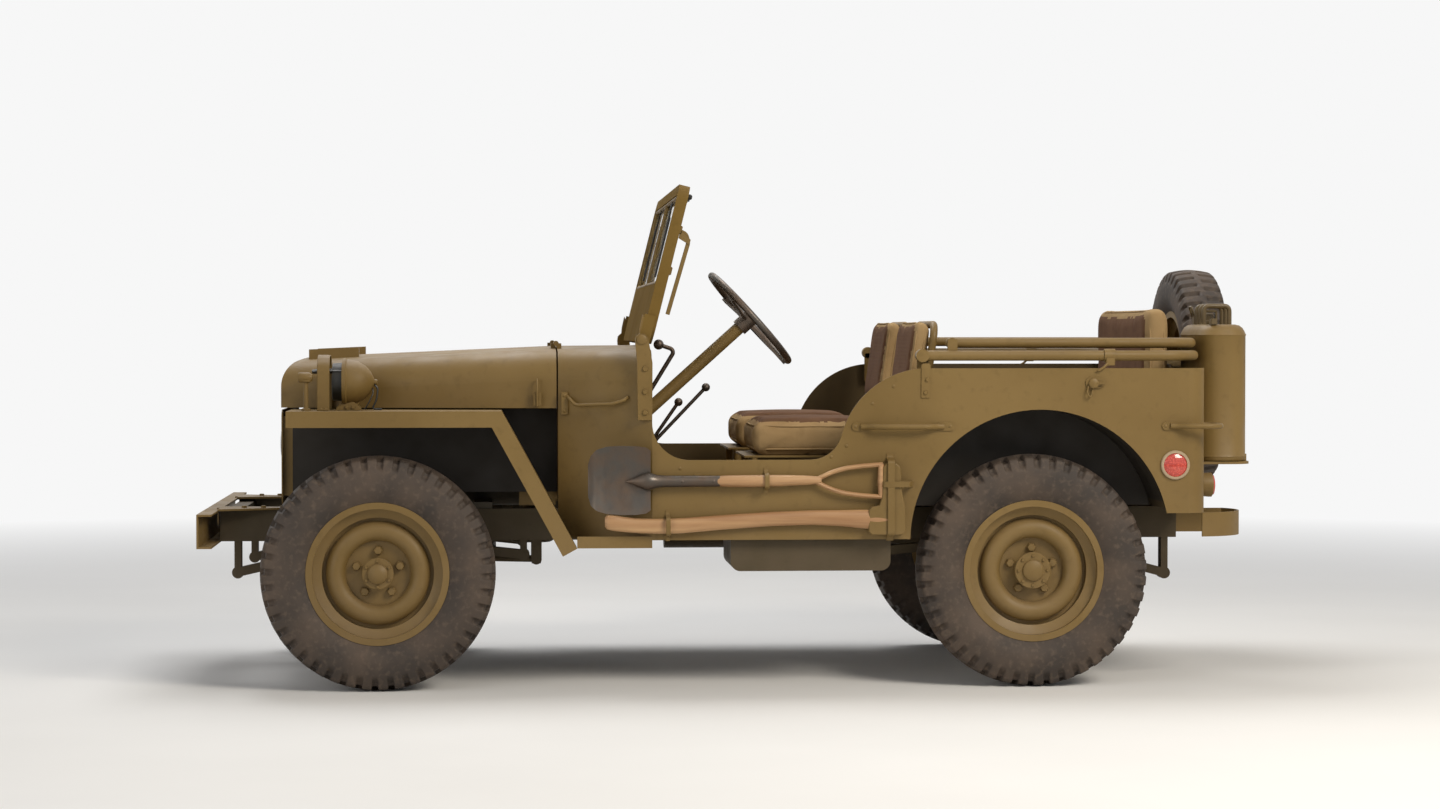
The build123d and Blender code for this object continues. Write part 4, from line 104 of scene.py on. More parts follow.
def softbox(name, place, aim, size, power, colour):
    """One square area lamp at a place, turned so that it faces the aim."""
    lamp = bpy.data.lights.new(name, "AREA")
    lamp.size = size
    lamp.energy = power
    lamp.color = colour
    holder = bpy.data.objects.new(name, lamp)
    holder.location = place
    back = np.subtract(place, aim)
    turn = math.atan2(back[0], -back[1])
    lean = math.atan2(math.hypot(back[0], back[1]), back[2])
    holder.rotation_euler = (lean, 0.0, turn)
    bpy.context.collection.objects.link(holder)


softbox("key", (3.6, -5.2, 4.6), (0.0, 0.0, 0.7), 2.6, 340.0, (1.0, 0.93, 0.82))
softbox("fill", (-5.0, -5.5, 2.4), (0.0, 0.0, 0.7), 4.0, 90.0, (1.0, 0.97, 0.93))
softbox("strip", (-0.5, 1.5, 4.8), (0.0, 0.0, 0.9), 3.2, 150.0, (1.0, 1.0, 1.0))

SOFT_GREY = (0.55, 0.56, 0.58, 1.0)
PALE = (0.93, 0.93, 0.93, 1.0)
world = bpy.data.worlds.new("studio")
bpy.context.scene.world = world
world.use_nodes = True
sky = world.node_tree
sky.nodes.clear()
dim = add_node(sky, "Background", {"Color": SOFT_GREY, "Strength": 0.4}).outputs[0]
bright = add_node(sky, "Background", {"Color": PALE}).outputs[0]
ray = add_node(sky, "LightPath")
pale_rays = ray.outputs["Is Camera Ray"]
for also in ("Is Transmission Ray", "Is Glossy Ray"):
    pale_rays = add_node(sky, "Math", {0: pale_rays, 1: ray.outputs[also]}, operation="MAXIMUM").outputs[0]
either = add_node(sky, "MixShader", {0: pale_rays, 1: dim, 2: bright})
add_node(sky, "OutputWorld", {"Surface": either.outputs[0]})

FLOOR_HALF = 40.0
floor_mesh = bpy.data.meshes.new("studio_floor")
corners = [(-1, -1), (1, -1), (1, 1), (-1, 1)]
floor_mesh.from_pydata([(x * FLOOR_HALF, y * FLOOR_HALF, 0.0) for x, y in corners], [], [(0, 1, 2, 3)])
studio_floor = bpy.data.objects.new("studio_floor", floor_mesh)
bpy.context.collection.objects.link(studio_floor)
print("lamps: 3, floor half width:", FLOOR_HALF)

# %% [markdown]
# ## Finishes
#
# Every finish is built from one small recipe: a colour that drifts with a broad
# noise, a second colour laid over it in patches, and a fine noise pushed into a
# bump. All of them read the Object coordinates, so that they stay on the car.


# %% A recipe for a worn surface
class Recipe:
    """A material under construction: each step adds a node and gives back its output."""

    def __init__(self, name, roughness, metallic=0.0):
        self.material = bpy.data.materials.new(name)
        self.material.use_nodes = True
        self.tree = self.material.node_tree
        self.shader = self.tree.nodes["Principled BSDF"]
        self.shader.inputs["Roughness"].default_value = roughness
        self.shader.inputs["Metallic"].default_value = metallic
        self.place = add_node(self.tree, "TexCoord").outputs["Object"]

    def noise(self, scale, detail=3.0, stretch=None, distortion=0.0):
        """Cloudy noise from 0 to 1; scale is its number of clouds in a metre."""
        where = self.place
        if stretch:
            where = add_node(self.tree, "Mapping", {"Scale": stretch, "Vector": where}).outputs["Vector"]
        sockets = {"Scale": scale, "Detail": detail, "Distortion": distortion, "Vector": where}
        return add_node(self.tree, "TexNoise", sockets).outputs["Fac"]

    def band(self, value, low, high, floor=0.0, ceiling=1.0):
        """A value spread from the range low to high onto floor to ceiling."""
        sockets = {"Value": value, "From Min": low, "From Max": high, "To Min": floor, "To Max": ceiling}
        return add_node(self.tree, "MapRange", sockets).outputs["Result"]

    def maths(self, operation, first, second):
        """Two values joined by one operation, such as MULTIPLY."""
        return add_node(self.tree, "Math", {0: first, 1: second}, operation=operation).outputs["Value"]

    def times(self, first, second):
        """The product of two values."""
        return self.maths("MULTIPLY", first, second)

    def blend(self, share, under, over):
        """Two colours or colour outputs mixed by a share from 0 to 1."""
        under, over = ((*c, 1.0) if isinstance(c, tuple) else c for c in (under, over))
        return add_node(self.tree, "Mix", {"Factor": share, 6: under, 7: over}, data_type="RGBA").outputs[2]

    def patches(self, under, over, scale, detail, low, high, most=1.0):
        """A colour with another laid over it where a noise rises from low to high."""
        return self.blend(self.band(self.noise(scale, detail), low, high, 0.0, most), under, over)

    def split(self, vector, axis):
        """One of the three numbers of a vector."""
        return add_node(self.tree, "SeparateXYZ", {0: vector}).outputs[axis]

    def height(self):
        """The height above the ground, in metres."""
        return self.split(self.place, "Z")

    def facing(self, axis, kind="True Normal"):
        """How far the surface faces along one axis, from -1 to 1."""
        return self.split(add_node(self.tree, "NewGeometry").outputs[kind], axis)

    def facing_up(self):
        """1 where the surface faces the sky, 0 on its sides."""
        return self.band(self.facing("Z", "Normal"), 0.2, 0.95)

    def outward(self):
        """Above 0 where the surface faces away from the car's middle plane: normal y times y."""
        return self.times(self.facing("Y"), self.split(self.place, "Y"))

    def inner_shade_share(self):
        """1 where the surface looks towards the car's middle plane: the share of painted shade on inner
        faces.
        """
        return self.band(self.outward(), -0.1, -0.4, 0.0, 0.9)

    def painted_shade_under(self, half):
        """1 where the surface looks down, or away from the middle at less than a half width: the share of
        painted shade.
        """
        y = self.split(self.place, "Y")
        near = self.band(self.times(y, y), half * half, 0.94 * half * half)
        outward = self.times(self.band(self.outward(), 0.05, 0.12), near)
        return self.maths("MAXIMUM", outward, self.band(self.facing("Z"), -0.1, -0.3))

    def bump(self, value, strength, distance):
        """Pushes the surface in and out by a value, for the light only."""
        step = add_node(self.tree, "Bump", {"Strength": strength, "Distance": distance, "Height": value})
        self.tree.links.new(step.outputs["Normal"], self.shader.inputs["Normal"])

    def colour(self, value):
        """Joins the finished colour to the shader."""
        self.tree.links.new(value, self.shader.inputs["Base Color"])

    def roughen(self, value):
        """Joins a changing roughness to the shader."""
        self.tree.links.new(value, self.shader.inputs["Roughness"])


def paint_wear_and_shade(name, base, faded, dust, roughness, dusty=0.5, under=0.0, inside=False, gloss=0.3):
    """Matt army paint: it fades in clouds, and dust lies on what faces up and near the ground.
    With a half width under, painted shade turns near-black what faces down or outwards inside it;
    with inside, painted shade darkens what faces the car's middle."""
    recipe = Recipe(name, roughness)
    recipe.shader.inputs["Specular IOR Level"].default_value = gloss
    paint = recipe.patches(base, faded, 2.3, 5.0, 0.35, 0.65)
    paint = recipe.patches(paint, tuple(0.72 * c for c in base), 34.0, 4.0, 0.56, 0.74, 0.35)
    low = recipe.band(recipe.height(), 0.75, 0.15, 0.0, dusty)
    grit = recipe.times(low, recipe.band(recipe.noise(9.0, 6.0), 0.3, 0.7, 0.25, 1.0))
    paint = recipe.blend(grit, paint, dust)
    settled = recipe.times(recipe.facing_up(), recipe.band(recipe.noise(6.0, 4.0), 0.35, 0.75, 0.08, 0.4))
    paint = recipe.blend(settled, paint, dust)
    if under:
        # painted shade: near-black where the surface faces down or outwards under the arches
        paint = recipe.blend(recipe.painted_shade_under(under), paint, (0.022, 0.017, 0.012))
    if inside:
        # painted shade: faces that look to the car's middle darkened to 0.3 of the paint
        paint = recipe.blend(recipe.inner_shade_share(), paint, tuple(0.3 * c for c in base))
    recipe.colour(paint)
    recipe.roughen(recipe.band(recipe.noise(14.0, 3.0), 0.3, 0.7, roughness - 0.07, roughness + 0.1))
    recipe.bump(recipe.noise(260.0, 2.0), 0.12, 0.0006)
    return recipe.material


OLIVE = (0.160, 0.099, 0.027)
ROAD_DUST = (0.235, 0.165, 0.095)
ARMY = (OLIVE, (0.200, 0.128, 0.040), ROAD_DUST)
body_paint = paint_wear_and_shade("body_paint", *ARMY, 0.5, 0.3)
# panel paint: olive with painted shade on the faces that look to the car's middle
panel_paint_inner_shade = paint_wear_and_shade("panel_paint_inner_shade", *ARMY, 0.5, 0.3, inside=True)
screen_paint = paint_wear_and_shade("screen_paint", *ARMY, 0.8, 0.3, gloss=0.02)
# arch paint: olive with painted shade under the wheel arches and fenders
arch_paint_painted_shade = paint_wear_and_shade("arch_paint_painted_shade", *ARMY, 0.55, 0.3, under=0.62)
DARK_OLIVE = ((0.058, 0.043, 0.020), (0.076, 0.056, 0.028), (0.12, 0.085, 0.055))
chassis_paint = paint_wear_and_shade("chassis_paint", *DARK_OLIVE, 0.6)
ENGINE_GREY = ((0.075, 0.066, 0.046), (0.095, 0.080, 0.056), (0.14, 0.10, 0.07))
engine_paint = paint_wear_and_shade("engine_paint", *ENGINE_GREY, 0.55)
print("OLIVE:", OLIVE)

# %% [markdown]
# Rubber, steel, wood, canvas and glass follow the same recipe. Wood is noise
# pulled long along the handle; canvas is two crossed waves, one for each set of
# threads; a lens is clear red gloss over a paler red.


# %% Rubber, steel, wood, canvas and glass
def rubber():
    """Brown-dusted rubber, paler where dust has been driven into it."""
    recipe = Recipe("tyre_rubber", 0.72)
    skin = recipe.patches((0.032, 0.023, 0.017), (0.078, 0.053, 0.036), 7.0, 6.0, 0.38, 0.68)
    recipe.colour(recipe.patches(skin, (0.118, 0.082, 0.055), 60.0, 3.0, 0.52, 0.72, 0.5))
    recipe.bump(recipe.noise(180.0, 3.0), 0.25, 0.0010)
    return recipe.material


def bare_steel(name, colour, roughness):
    """Oiled, dark, handled steel with brown tints."""
    recipe = Recipe(name, roughness, 0.75)
    recipe.colour(recipe.patches(colour, (0.110, 0.075, 0.052), 18.0, 5.0, 0.35, 0.7))
    recipe.roughen(recipe.band(recipe.noise(40.0, 3.0), 0.3, 0.7, roughness - 0.1, roughness + 0.15))
    recipe.bump(recipe.noise(220.0, 2.0), 0.1, 0.0005)
    return recipe.material


def handle_wood():
    """Ash wood: long grain along X, warm in the hollows and pale where hands rub."""
    recipe = Recipe("handle_wood", 0.48)
    grain = recipe.noise(26.0, 6.0, (0.06, 1.0, 1.0), 0.4)
    wood = recipe.blend(recipe.band(grain, 0.35, 0.68), (0.300, 0.150, 0.062), (0.520, 0.315, 0.150))
    streaks = recipe.band(recipe.noise(90.0, 3.0, (0.03, 1.0, 1.0)), 0.55, 0.75, 0.0, 0.5)
    recipe.colour(recipe.blend(streaks, wood, (0.210, 0.100, 0.045)))
    recipe.bump(grain, 0.2, 0.0010)
    return recipe.material


def canvas(name, base, shade):
    """Stuffed cotton duck: crossed threads in the bump, handling stains in the colour."""
    recipe = Recipe(name, 0.9)
    cloth = recipe.patches(base, shade, 5.0, 5.0, 0.35, 0.7)
    recipe.colour(recipe.patches(cloth, tuple(0.62 * c for c in shade), 24.0, 4.0, 0.55, 0.75, 0.45))
    sockets = {"Scale": 180.0, "Distortion": 0.6, "Vector": recipe.place}
    threads = [add_node(recipe.tree, "TexWave", sockets, bands_direction=way) for way in ("X", "Z")]
    recipe.bump(recipe.times(*(wave.outputs["Fac"] for wave in threads)), 0.3, 0.0012)
    recipe.shader.inputs["Specular IOR Level"].default_value = 0.15
    return recipe.material


def window_glass():
    """Clear flat glass with a faint green in its depth."""
    recipe = Recipe("window_glass", 0.03)
    recipe.shader.inputs["Base Color"].default_value = (0.93, 0.97, 0.94, 1.0)
    recipe.shader.inputs["Transmission Weight"].default_value = 1.0
    recipe.shader.inputs["IOR"].default_value = 1.45
    return recipe.material


def lens(name, deep, pale):
    """Moulded lens glass, darker and paler in small cells."""
    recipe = Recipe(name, 0.12)
    cells = add_node(recipe.tree, "TexVoronoi", {"Scale": 190.0, "Vector": recipe.place}).outputs["Distance"]
    recipe.colour(recipe.blend(recipe.band(cells, 0.0, 0.6), pale, deep))
    recipe.bump(cells, 0.25, 0.0010)
    recipe.shader.inputs["Coat Weight"].default_value = 0.6
    return recipe.material


tyre_rubber = rubber()
dark_steel = bare_steel("dark_steel", (0.085, 0.075, 0.065), 0.42)
ash_wood = handle_wood()
tan_canvas = canvas("tan_canvas", (0.400, 0.270, 0.130), (0.300, 0.195, 0.090))
brown_canvas = canvas("brown_canvas", (0.150, 0.078, 0.042), (0.110, 0.056, 0.030))
clear_glass = window_glass()
red_lens = lens("red_lens", (0.42, 0.035, 0.02), (0.72, 0.10, 0.06))
print("finishes:", len(bpy.data.materials))

# %% [markdown]
# Each CAD part now takes its finish: the shape stays, only what is painted on it
# changes.

# %% Finish the CAD parts
FINISH_OF_SLOT = {
    "olive_paint": body_paint,
    "chassis_paint": chassis_paint,
    "engine_iron": engine_paint,
    "canvas": tan_canvas,
    "tyre_rubber": tyre_rubber,
    "clear_glass": clear_glass,
    "ash_wood": ash_wood,
    "tool_steel": dark_steel,
    "red_reflector": red_lens,
}


def coat(part, finish):
    """Gives one finish to the whole of a part."""
    part.data.materials.clear()
    part.data.materials.append(finish)


for row in frame["record"]["subparts"]:
    coat(nodes[row["node"]], FINISH_OF_SLOT[row["material_slot"]])
for name in ("levers", "steering_wheel"):
    coat(nodes[name], dark_steel)
# the arches and fenders carry painted shade underneath
for name in ("wheel_boxes", "front_fenders"):
    coat(nodes[name], arch_paint_painted_shade)
# the sides carry painted shade on their inner faces
for name in ("side_left", "side_right", "rear_panel"):
    coat(nodes[name], panel_paint_inner_shade)
coat(nodes["windscreen_frame"], screen_paint)


def fading_floor():
    """A plain matt floor that runs into the background: the further a point lies from the car,
    the more it shows the background's own colour, so that no horizon is seen."""
    recipe = Recipe("pale_floor", 0.9)
    recipe.colour(recipe.patches((0.84, 0.83, 0.81), (0.88, 0.87, 0.85), 0.8, 3.0, 0.3, 0.7))
    tree = recipe.tree
    away = add_node(tree, "VectorMath", {0: recipe.place}, operation="LENGTH").outputs["Value"]
    light = add_node(tree, "LightPath").outputs["Is Camera Ray"]
    share = recipe.times(recipe.band(away, 3.0, 9.0), light)
    glow = add_node(tree, "Emission", {"Color": PALE}).outputs[0]
    either = add_node(tree, "MixShader", {0: share, 1: recipe.shader.outputs[0], 2: glow})
    tree.links.new(either.outputs[0], tree.nodes["Material Output"].inputs["Surface"])
    return recipe.material


coat(studio_floor, fading_floor())
print("coated parts:", len(nodes))

# %% [markdown]
# ## Surfaces from arrays
#
# Every new piece is worked out by numpy as a grid of points, one row of points
# for each station, and then handed to a mesh in one go. Three builders are
# enough: a grid that may close on itself, a section carried along a path, and an
# outline turned about an axis.


# %% Meshes from grids of points
def wear(name, points, faces, finish, body):
    """A mesh object from arrays of points and faces, finished, and riding on one body."""
    mesh = bpy.data.meshes.new(name)
    mesh.from_pydata(np.asarray(points, float).reshape(-1, 3).tolist(), [], faces)
    mesh.polygons.foreach_set("use_smooth", [True] * len(mesh.polygons))
    piece = bpy.data.objects.new(name, mesh)
    bpy.context.collection.objects.link(piece)
    mesh.materials.append(finish)
    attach(piece, body)
    return piece


def quads(rows, columns, close_rows=False, close_columns=False, start=0):
    """Four-cornered faces between neighbouring rows and columns of a grid."""
    row = np.arange(rows if close_rows else rows - 1)
    column = np.arange(columns if close_columns else columns - 1)
    i, j = (part.ravel() for part in np.meshgrid(row, column, indexing="ij"))
    k, n = (i + 1) % rows, (j + 1) % columns
    loops = np.stack([i * columns + j, i * columns + n, k * columns + n, k * columns + j], axis=1)
    return (loops + start).tolist()


def unit(vectors):
    """Vectors drawn to length 1, one or a row of them."""
    return vectors / np.linalg.norm(vectors, axis=-1, keepdims=True)


def turn_outwards(piece):
    """Merges doubled points and turns every face outwards."""
    work = bmesh.new()
    work.from_mesh(piece.data)
    bmesh.ops.remove_doubles(work, verts=work.verts, dist=1e-6)
    bmesh.ops.recalc_face_normals(work, faces=work.faces)
    work.to_mesh(piece.data)
    work.free()
    return piece


print("builders ready")

# %% [markdown]
# ## Tyres
#
# The real tread is non-directional: a zigzag rib runs down the middle, and from
# it square bars reach out to the left and to the right in turn, over the shoulder
# and a little way down the side wall. One surface holds it all. Its section is an
# arch on two bulging walls, and between the bars it is pushed inwards.

# %% One tyre as a surface of two angles
TYRE_RADIUS = float(nodes["tyre_rear_left"].dimensions.z) / 2
TYRE_HALF_WIDTH = float(nodes["tyre_rear_left"].dimensions.y) / 2
BEAD_RADIUS = 0.2045
BEAD_HALF = 0.0565
LUGS = 44
LUG_SHARE = 0.60  # of each pitch round the tyre
FLANK = 0.055  # the bar's sloping side, as a share of the pitch
GROOVE_DEPTH = 0.0115
RIB_HALF = 0.010
LUG_FOOT_RADIUS = 0.318  # where the bars die out on the side wall
WIDEST_RADIUS = 0.285


def tyre_section():
    """Half of the section from the crown to the bead, as (across, radius) pairs: a flat arch, a
    rounded shoulder, then an ellipse that is widest at the middle of the wall."""
    across = np.array([0.0, 0.0085, 0.0115, 0.024, 0.036, 0.048, 0.056])
    radius = TYRE_RADIUS - 0.0065 * (across / 0.056) ** 2
    turn = np.radians([12.0, 30.0, 48.0, 64.0, 78.0])
    shoulder = np.stack([0.056 + 0.0145 * np.sin(turn), radius[-1] - 0.016 * (1 - np.cos(turn))], axis=1)
    wall_radius = np.array([
        0.336, 0.327, 0.319, 0.312, 0.304, 0.294, 0.283, 0.271, 0.259, 0.248, 0.238, 0.229, 0.222,
    ])
    reach = np.where(wall_radius > WIDEST_RADIUS, 0.118, 0.0945)
    wall = TYRE_HALF_WIDTH * np.sqrt(1 - ((wall_radius - WIDEST_RADIUS) / reach) ** 2)
    wall = np.minimum(wall, TYRE_HALF_WIDTH - 0.0005)
    ribs = np.array([0.302, 0.251])
    wall = wall - 0.0012 * np.min(np.abs(wall_radius[:, None] - ribs) < 0.001, axis=1)
    bead = np.array([[BEAD_HALF, 0.2155], [BEAD_HALF - 0.0005, BEAD_RADIUS]])
    crown = np.stack([across, radius], axis=1)
    return np.concatenate([crown, shoulder, np.stack([wall, wall_radius], axis=1), bead])


def square_wave(phase):
    """1 on a bar and 0 in the groove beside it, with sloping flanks; phase counts pitches."""
    place = phase % 1.0
    rise = np.clip(place / FLANK, 0.0, 1.0)
    fall = np.clip((LUG_SHARE + FLANK - place) / FLANK, 0.0, 1.0)
    return np.minimum(rise, fall)


def tyre_points(centre):
    """Every point of one tyre whose axle runs along Y: (angle, section) to (x, y, z). The groove
    pushes a point in along the section's own normal, deepest on the tread and shoulder."""
    half = tyre_section()
    section = np.concatenate([half[:0:-1] * (-1, 1), half])
    tangent = np.gradient(section, axis=0)
    normal = unit(np.stack([-tangent[:, 1], tangent[:, 0]], axis=1))
    steps = np.array([0.0, 0.055, 0.105, 0.160, 0.330, 0.500, 0.555, 0.605, 0.655, 0.830])
    pitch = (np.arange(LUGS)[:, None] + steps).ravel()
    angle = 2 * np.pi * pitch / LUGS
    half_pitch = np.where(section[:, 0] < 0, 0.0, 0.5)  # the right side's bars stand between the left's
    bar = square_wave(pitch[:, None] + half_pitch)
    reach = np.clip((np.abs(section[:, 0]) - RIB_HALF) / 0.0015, 0.0, 1.0)
    fade = np.clip((section[:, 1] - LUG_FOOT_RADIUS) / 0.016, 0.0, 1.0)
    depth = GROOVE_DEPTH * (1 - bar) * reach * fade
    across = section[:, 0] - depth * normal[:, 0]
    radius = section[:, 1] - depth * normal[:, 1]
    x = centre[0] + radius * np.cos(angle)[:, None]
    z = centre[2] + radius * np.sin(angle)[:, None]
    return np.stack([x, centre[1] + across, z], axis=2)


def make_tyre(node, body):
    """Stands one treaded tyre where the plain CAD tyre is; the spare's axle runs along the car."""
    low, high = (np.array(corner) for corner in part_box(node))
    middle = (low + high) / 2
    grid = tyre_points((0.0, 0.0, 0.0))
    if (high - low)[0] < (high - low)[1]:
        grid = grid[..., [1, 0, 2]]
    rows, columns = grid.shape[:2]
    faces = quads(rows, columns, close_rows=True, close_columns=True)
    piece = wear(node + "_tread", grid + middle, faces, tyre_rubber, body)
    turn_outwards(piece)
    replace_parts(piece, node)
    return piece


for corner in ("front_left", "front_right", "rear_left", "rear_right"):
    tyre = make_tyre("tyre_" + corner, "wheel_" + corner)
make_tyre("spare_tyre", "chassis")
print("faces in one tyre:", len(tyre.data.polygons))

# %% [markdown]
# ## Parts from sections and outlines
#
# The rest of the trim is bars, turned pieces and small pressed blocks. Their sizes
# are written in millimetres, as on a workshop drawing, and turned into metres once,
# when the mesh is made.


# %% Bars, turned pieces and blocks
REAR, RIGHT, UP = (1, 0, 0), (0, 1, 0), (0, 0, 1)
FRONT, LEFT = (-1, 0, 0), (0, -1, 0)


def ring_section(width, height=None, count=14):
    """An ellipse as a closed section: half a width across, half a height up."""
    angle = 2 * np.pi * np.arange(count) / count
    return np.stack([width / 2 * np.cos(angle), (height or width) / 2 * np.sin(angle)], axis=1)


def strap_section(width, thick):
    """A flat bar with eased edges as a closed section."""
    corner = 0.35 * thick
    half, rise = width / 2, thick / 2
    return np.array([
        (half, -rise + corner), (half, rise - corner), (half - corner, rise), (corner - half, rise),
        (-half, rise - corner), (-half, corner - rise), (corner - half, -rise), (half - corner, -rise),
    ])


def rounded_path(corners, bend, steps=6):
    """Straight runs whose corners are rounded: a bend's length before and after each corner is
    replaced by a curve p = (1 - t)^2 a + 2 t (1 - t) corner + t^2 b."""
    corners = np.asarray(corners, float)
    points = [corners[0]]
    share = np.linspace(0.0, 1.0, steps)[:, None]
    for before, corner, after in zip(corners[:-2], corners[1:-1], corners[2:]):
        back, ahead = before - corner, after - corner
        a = corner + back * min(bend / np.linalg.norm(back), 0.49)
        b = corner + ahead * min(bend / np.linalg.norm(ahead), 0.49)
        points.extend((1 - share) ** 2 * a + 2 * share * (1 - share) * corner + share**2 * b)
    points.append(corners[-1])
    return np.array(points)


def swept(path, section, sizes=None, reference=UP, closed=False):
    """A section carried along a path without twisting: at each station its first axis is the last
    one made square to the new direction. A list of sizes scales it on the way."""
    path = np.asarray(path, float)
    if closed:
        tangent = np.roll(path, -1, axis=0) - np.roll(path, 1, axis=0)
    else:
        tangent = np.gradient(path, axis=0)
    tangent = unit(tangent)
    side = np.cross(reference, tangent[0])
    if np.linalg.norm(side) < 0.2:
        side = np.cross(RIGHT, tangent[0])
    sizes = np.ones(len(path)) if sizes is None else np.asarray(sizes, float)
    rows = []
    for place, way, size in zip(path, tangent, sizes):
        side = unit(side - way * np.dot(side, way))
        top = np.cross(way, side)
        rows.append(place + size * (section[:, :1] * side + section[:, 1:] * top))
    count = len(section)
    points = np.concatenate(rows)
    faces = quads(len(path), count, close_rows=closed, close_columns=True)
    if not closed:
        faces += [list(range(count)), list(range(len(points) - count, len(points)))]
    return points, faces


def rod(corners, bend, thick, count=14):
    """A round bar bent at its corners."""
    return swept(rounded_path(corners, bend), ring_section(thick, count=count))


def strap(corners, bend, width, thick, steps=6):
    """A flat bar bent at its corners, its width across the path."""
    return swept(rounded_path(corners, bend, steps), strap_section(width, thick), reference=RIGHT)


def turned(profile, centre, axis, count=32):
    """A profile of (along, radius) pairs turned about an axis; a radius of 0 closes a pole."""
    profile = np.asarray(profile, float)
    angle = 2 * np.pi * np.arange(count) / count
    way = unit(np.asarray(axis, float))
    side = unit(np.cross(way, UP if abs(way[2]) < 0.9 else REAR))
    top = np.cross(way, side)
    ring = np.cos(angle)[:, None] * side + np.sin(angle)[:, None] * top
    grid = np.asarray(centre) + profile[None, :, :1] * way + profile[None, :, 1:] * ring[:, None]
    return grid.reshape(-1, 3), quads(count, len(profile), close_rows=True)


def bolt_heads(places, axis, radius, height):
    """Hexagon heads at several places, all looking the same way."""
    profile = [(-1.0, 0), (-1.0, radius), (0.7 * height, radius), (height, 0.8 * radius), (height, 0)]
    return [turned(profile, place, axis, 6) for place in places]


def rivets(places, axis, radius=5.0, height=2.4):
    """Domed rivet heads: the height falls off as the square of the radius."""
    profile = [(-1.0, 0), (-1.0, radius), (0.0, radius), (0.65 * height, 0.6 * radius), (height, 0)]
    return [turned(profile, place, axis, 12) for place in places]


def block(centre, size, ease=2.0, turn=None):
    """A box with eased edges: eight corners, each cut into three points."""
    half = np.asarray(size, float) / 2
    work = bmesh.new()
    bmesh.ops.create_cube(work, size=2.0)
    for point in work.verts:
        point.co = [c * h for c, h in zip(point.co, half)]
    bmesh.ops.bevel(work, geom=work.edges[:], offset=min(ease, 0.45 * min(size)), segments=2, affect="EDGES")
    points = np.array([point.co[:] for point in work.verts])
    faces = [[point.index for point in face.verts] for face in work.faces]
    work.free()
    if turn is not None:
        points = points @ np.asarray(turn).T
    return points + np.asarray(centre), faces


def slab(outline, low, high):
    """A flat outline of (x, z) points given a thickness between two levels of Y."""
    count = len(outline)
    rows = [np.insert(np.asarray(outline, float), 1, level, axis=1) for level in (low, high)]
    faces = quads(2, count, close_columns=True) + [list(range(count)), list(range(count, 2 * count))]
    return np.concatenate(rows), faces


def fit(name, parts, finish, body="chassis", sharp=35.0):
    """Joins several (points, faces) parts, in millimetres, into one finished piece."""
    points, faces, start = [], [], 0
    for some, corners in parts:
        points.append(np.asarray(some, float))
        faces.extend([[start + corner for corner in face] for face in corners])
        start += len(some)
    piece = wear(name, np.concatenate(points) / 1000.0, faces, finish, body)
    turn_outwards(piece)
    piece.data.set_sharp_from_angle(angle=math.radians(sharp))
    return piece


def on_sides(parts):
    """The same parts twice: as given for the left, and mirrored for the right."""
    return list(parts) + [(np.asarray(points) * (1.0, -1.0, 1.0), faces) for points, faces in parts]


print("builders: swept, turned, block, slab")

# %% [markdown]
# ## Cushions
#
# Army seats are canvas bags stuffed with hair: flat boards below, a crowned top,
# sides that pull in between the corners, and a piped seam round each face. Air
# pressure on a cloth mesh blows a plain rounded block into that shape, and capping
# how far each point may move keeps the pad in its place. The piping comes last, laid
# on the swollen surface.


# %% Stuffed pads
PAD_INSET = 6.0  # the start shape is this much smaller all round
VOXEL = 0.006
PRESSURE = 4.0
CLOTH_STEPS = 20


def stuff(piece, cap):
    """Blows a closed mesh up as cloth: remesh, pressure for some steps, then every point's move
    is cut to the cap, move = move * min(1, cap / |move|)."""
    remesh = piece.modifiers.new("even", "REMESH")
    remesh.mode = "VOXEL"
    remesh.voxel_size = VOXEL if max(piece.dimensions) < 0.7 else 1.3 * VOXEL
    remesh.use_smooth_shade = True
    settle(piece)
    before = points_of(piece)
    cloth = piece.modifiers.new("stuffing", "CLOTH")
    cloth.settings.use_pressure = True
    cloth.settings.uniform_pressure_force = PRESSURE
    cloth.settings.quality = 5
    cloth.settings.tension_stiffness = 12.0
    cloth.settings.compression_stiffness = 12.0
    cloth.settings.bending_stiffness = 2.5
    cloth.settings.effector_weights.gravity = 0.0
    cloth.point_cache.frame_start = 1
    cloth.point_cache.frame_end = CLOTH_STEPS
    for step in range(1, CLOTH_STEPS + 1):
        bpy.context.scene.frame_set(step)
    settle(piece)
    bpy.context.scene.frame_set(1)
    move = points_of(piece) - before
    length = np.linalg.norm(move, axis=1, keepdims=True)
    move_points(piece, before + move * np.minimum(1.0, cap / 1000.0 / np.maximum(length, 1e-9)))


def settle(piece):
    """Replaces a piece's mesh by what its modifiers make of it, and drops the modifiers."""
    shaped = bpy.data.meshes.new_from_object(piece.evaluated_get(bpy.context.evaluated_depsgraph_get()))
    piece.modifiers.clear()
    piece.data = shaped


def points_of(piece):
    """A piece's points as an array."""
    points = np.empty(3 * len(piece.data.vertices))
    piece.data.vertices.foreach_get("co", points)
    return points.reshape(-1, 3)


def move_points(piece, points):
    """Sets a piece's points from an array."""
    piece.data.vertices.foreach_set("co", points.ravel())
    piece.data.update()


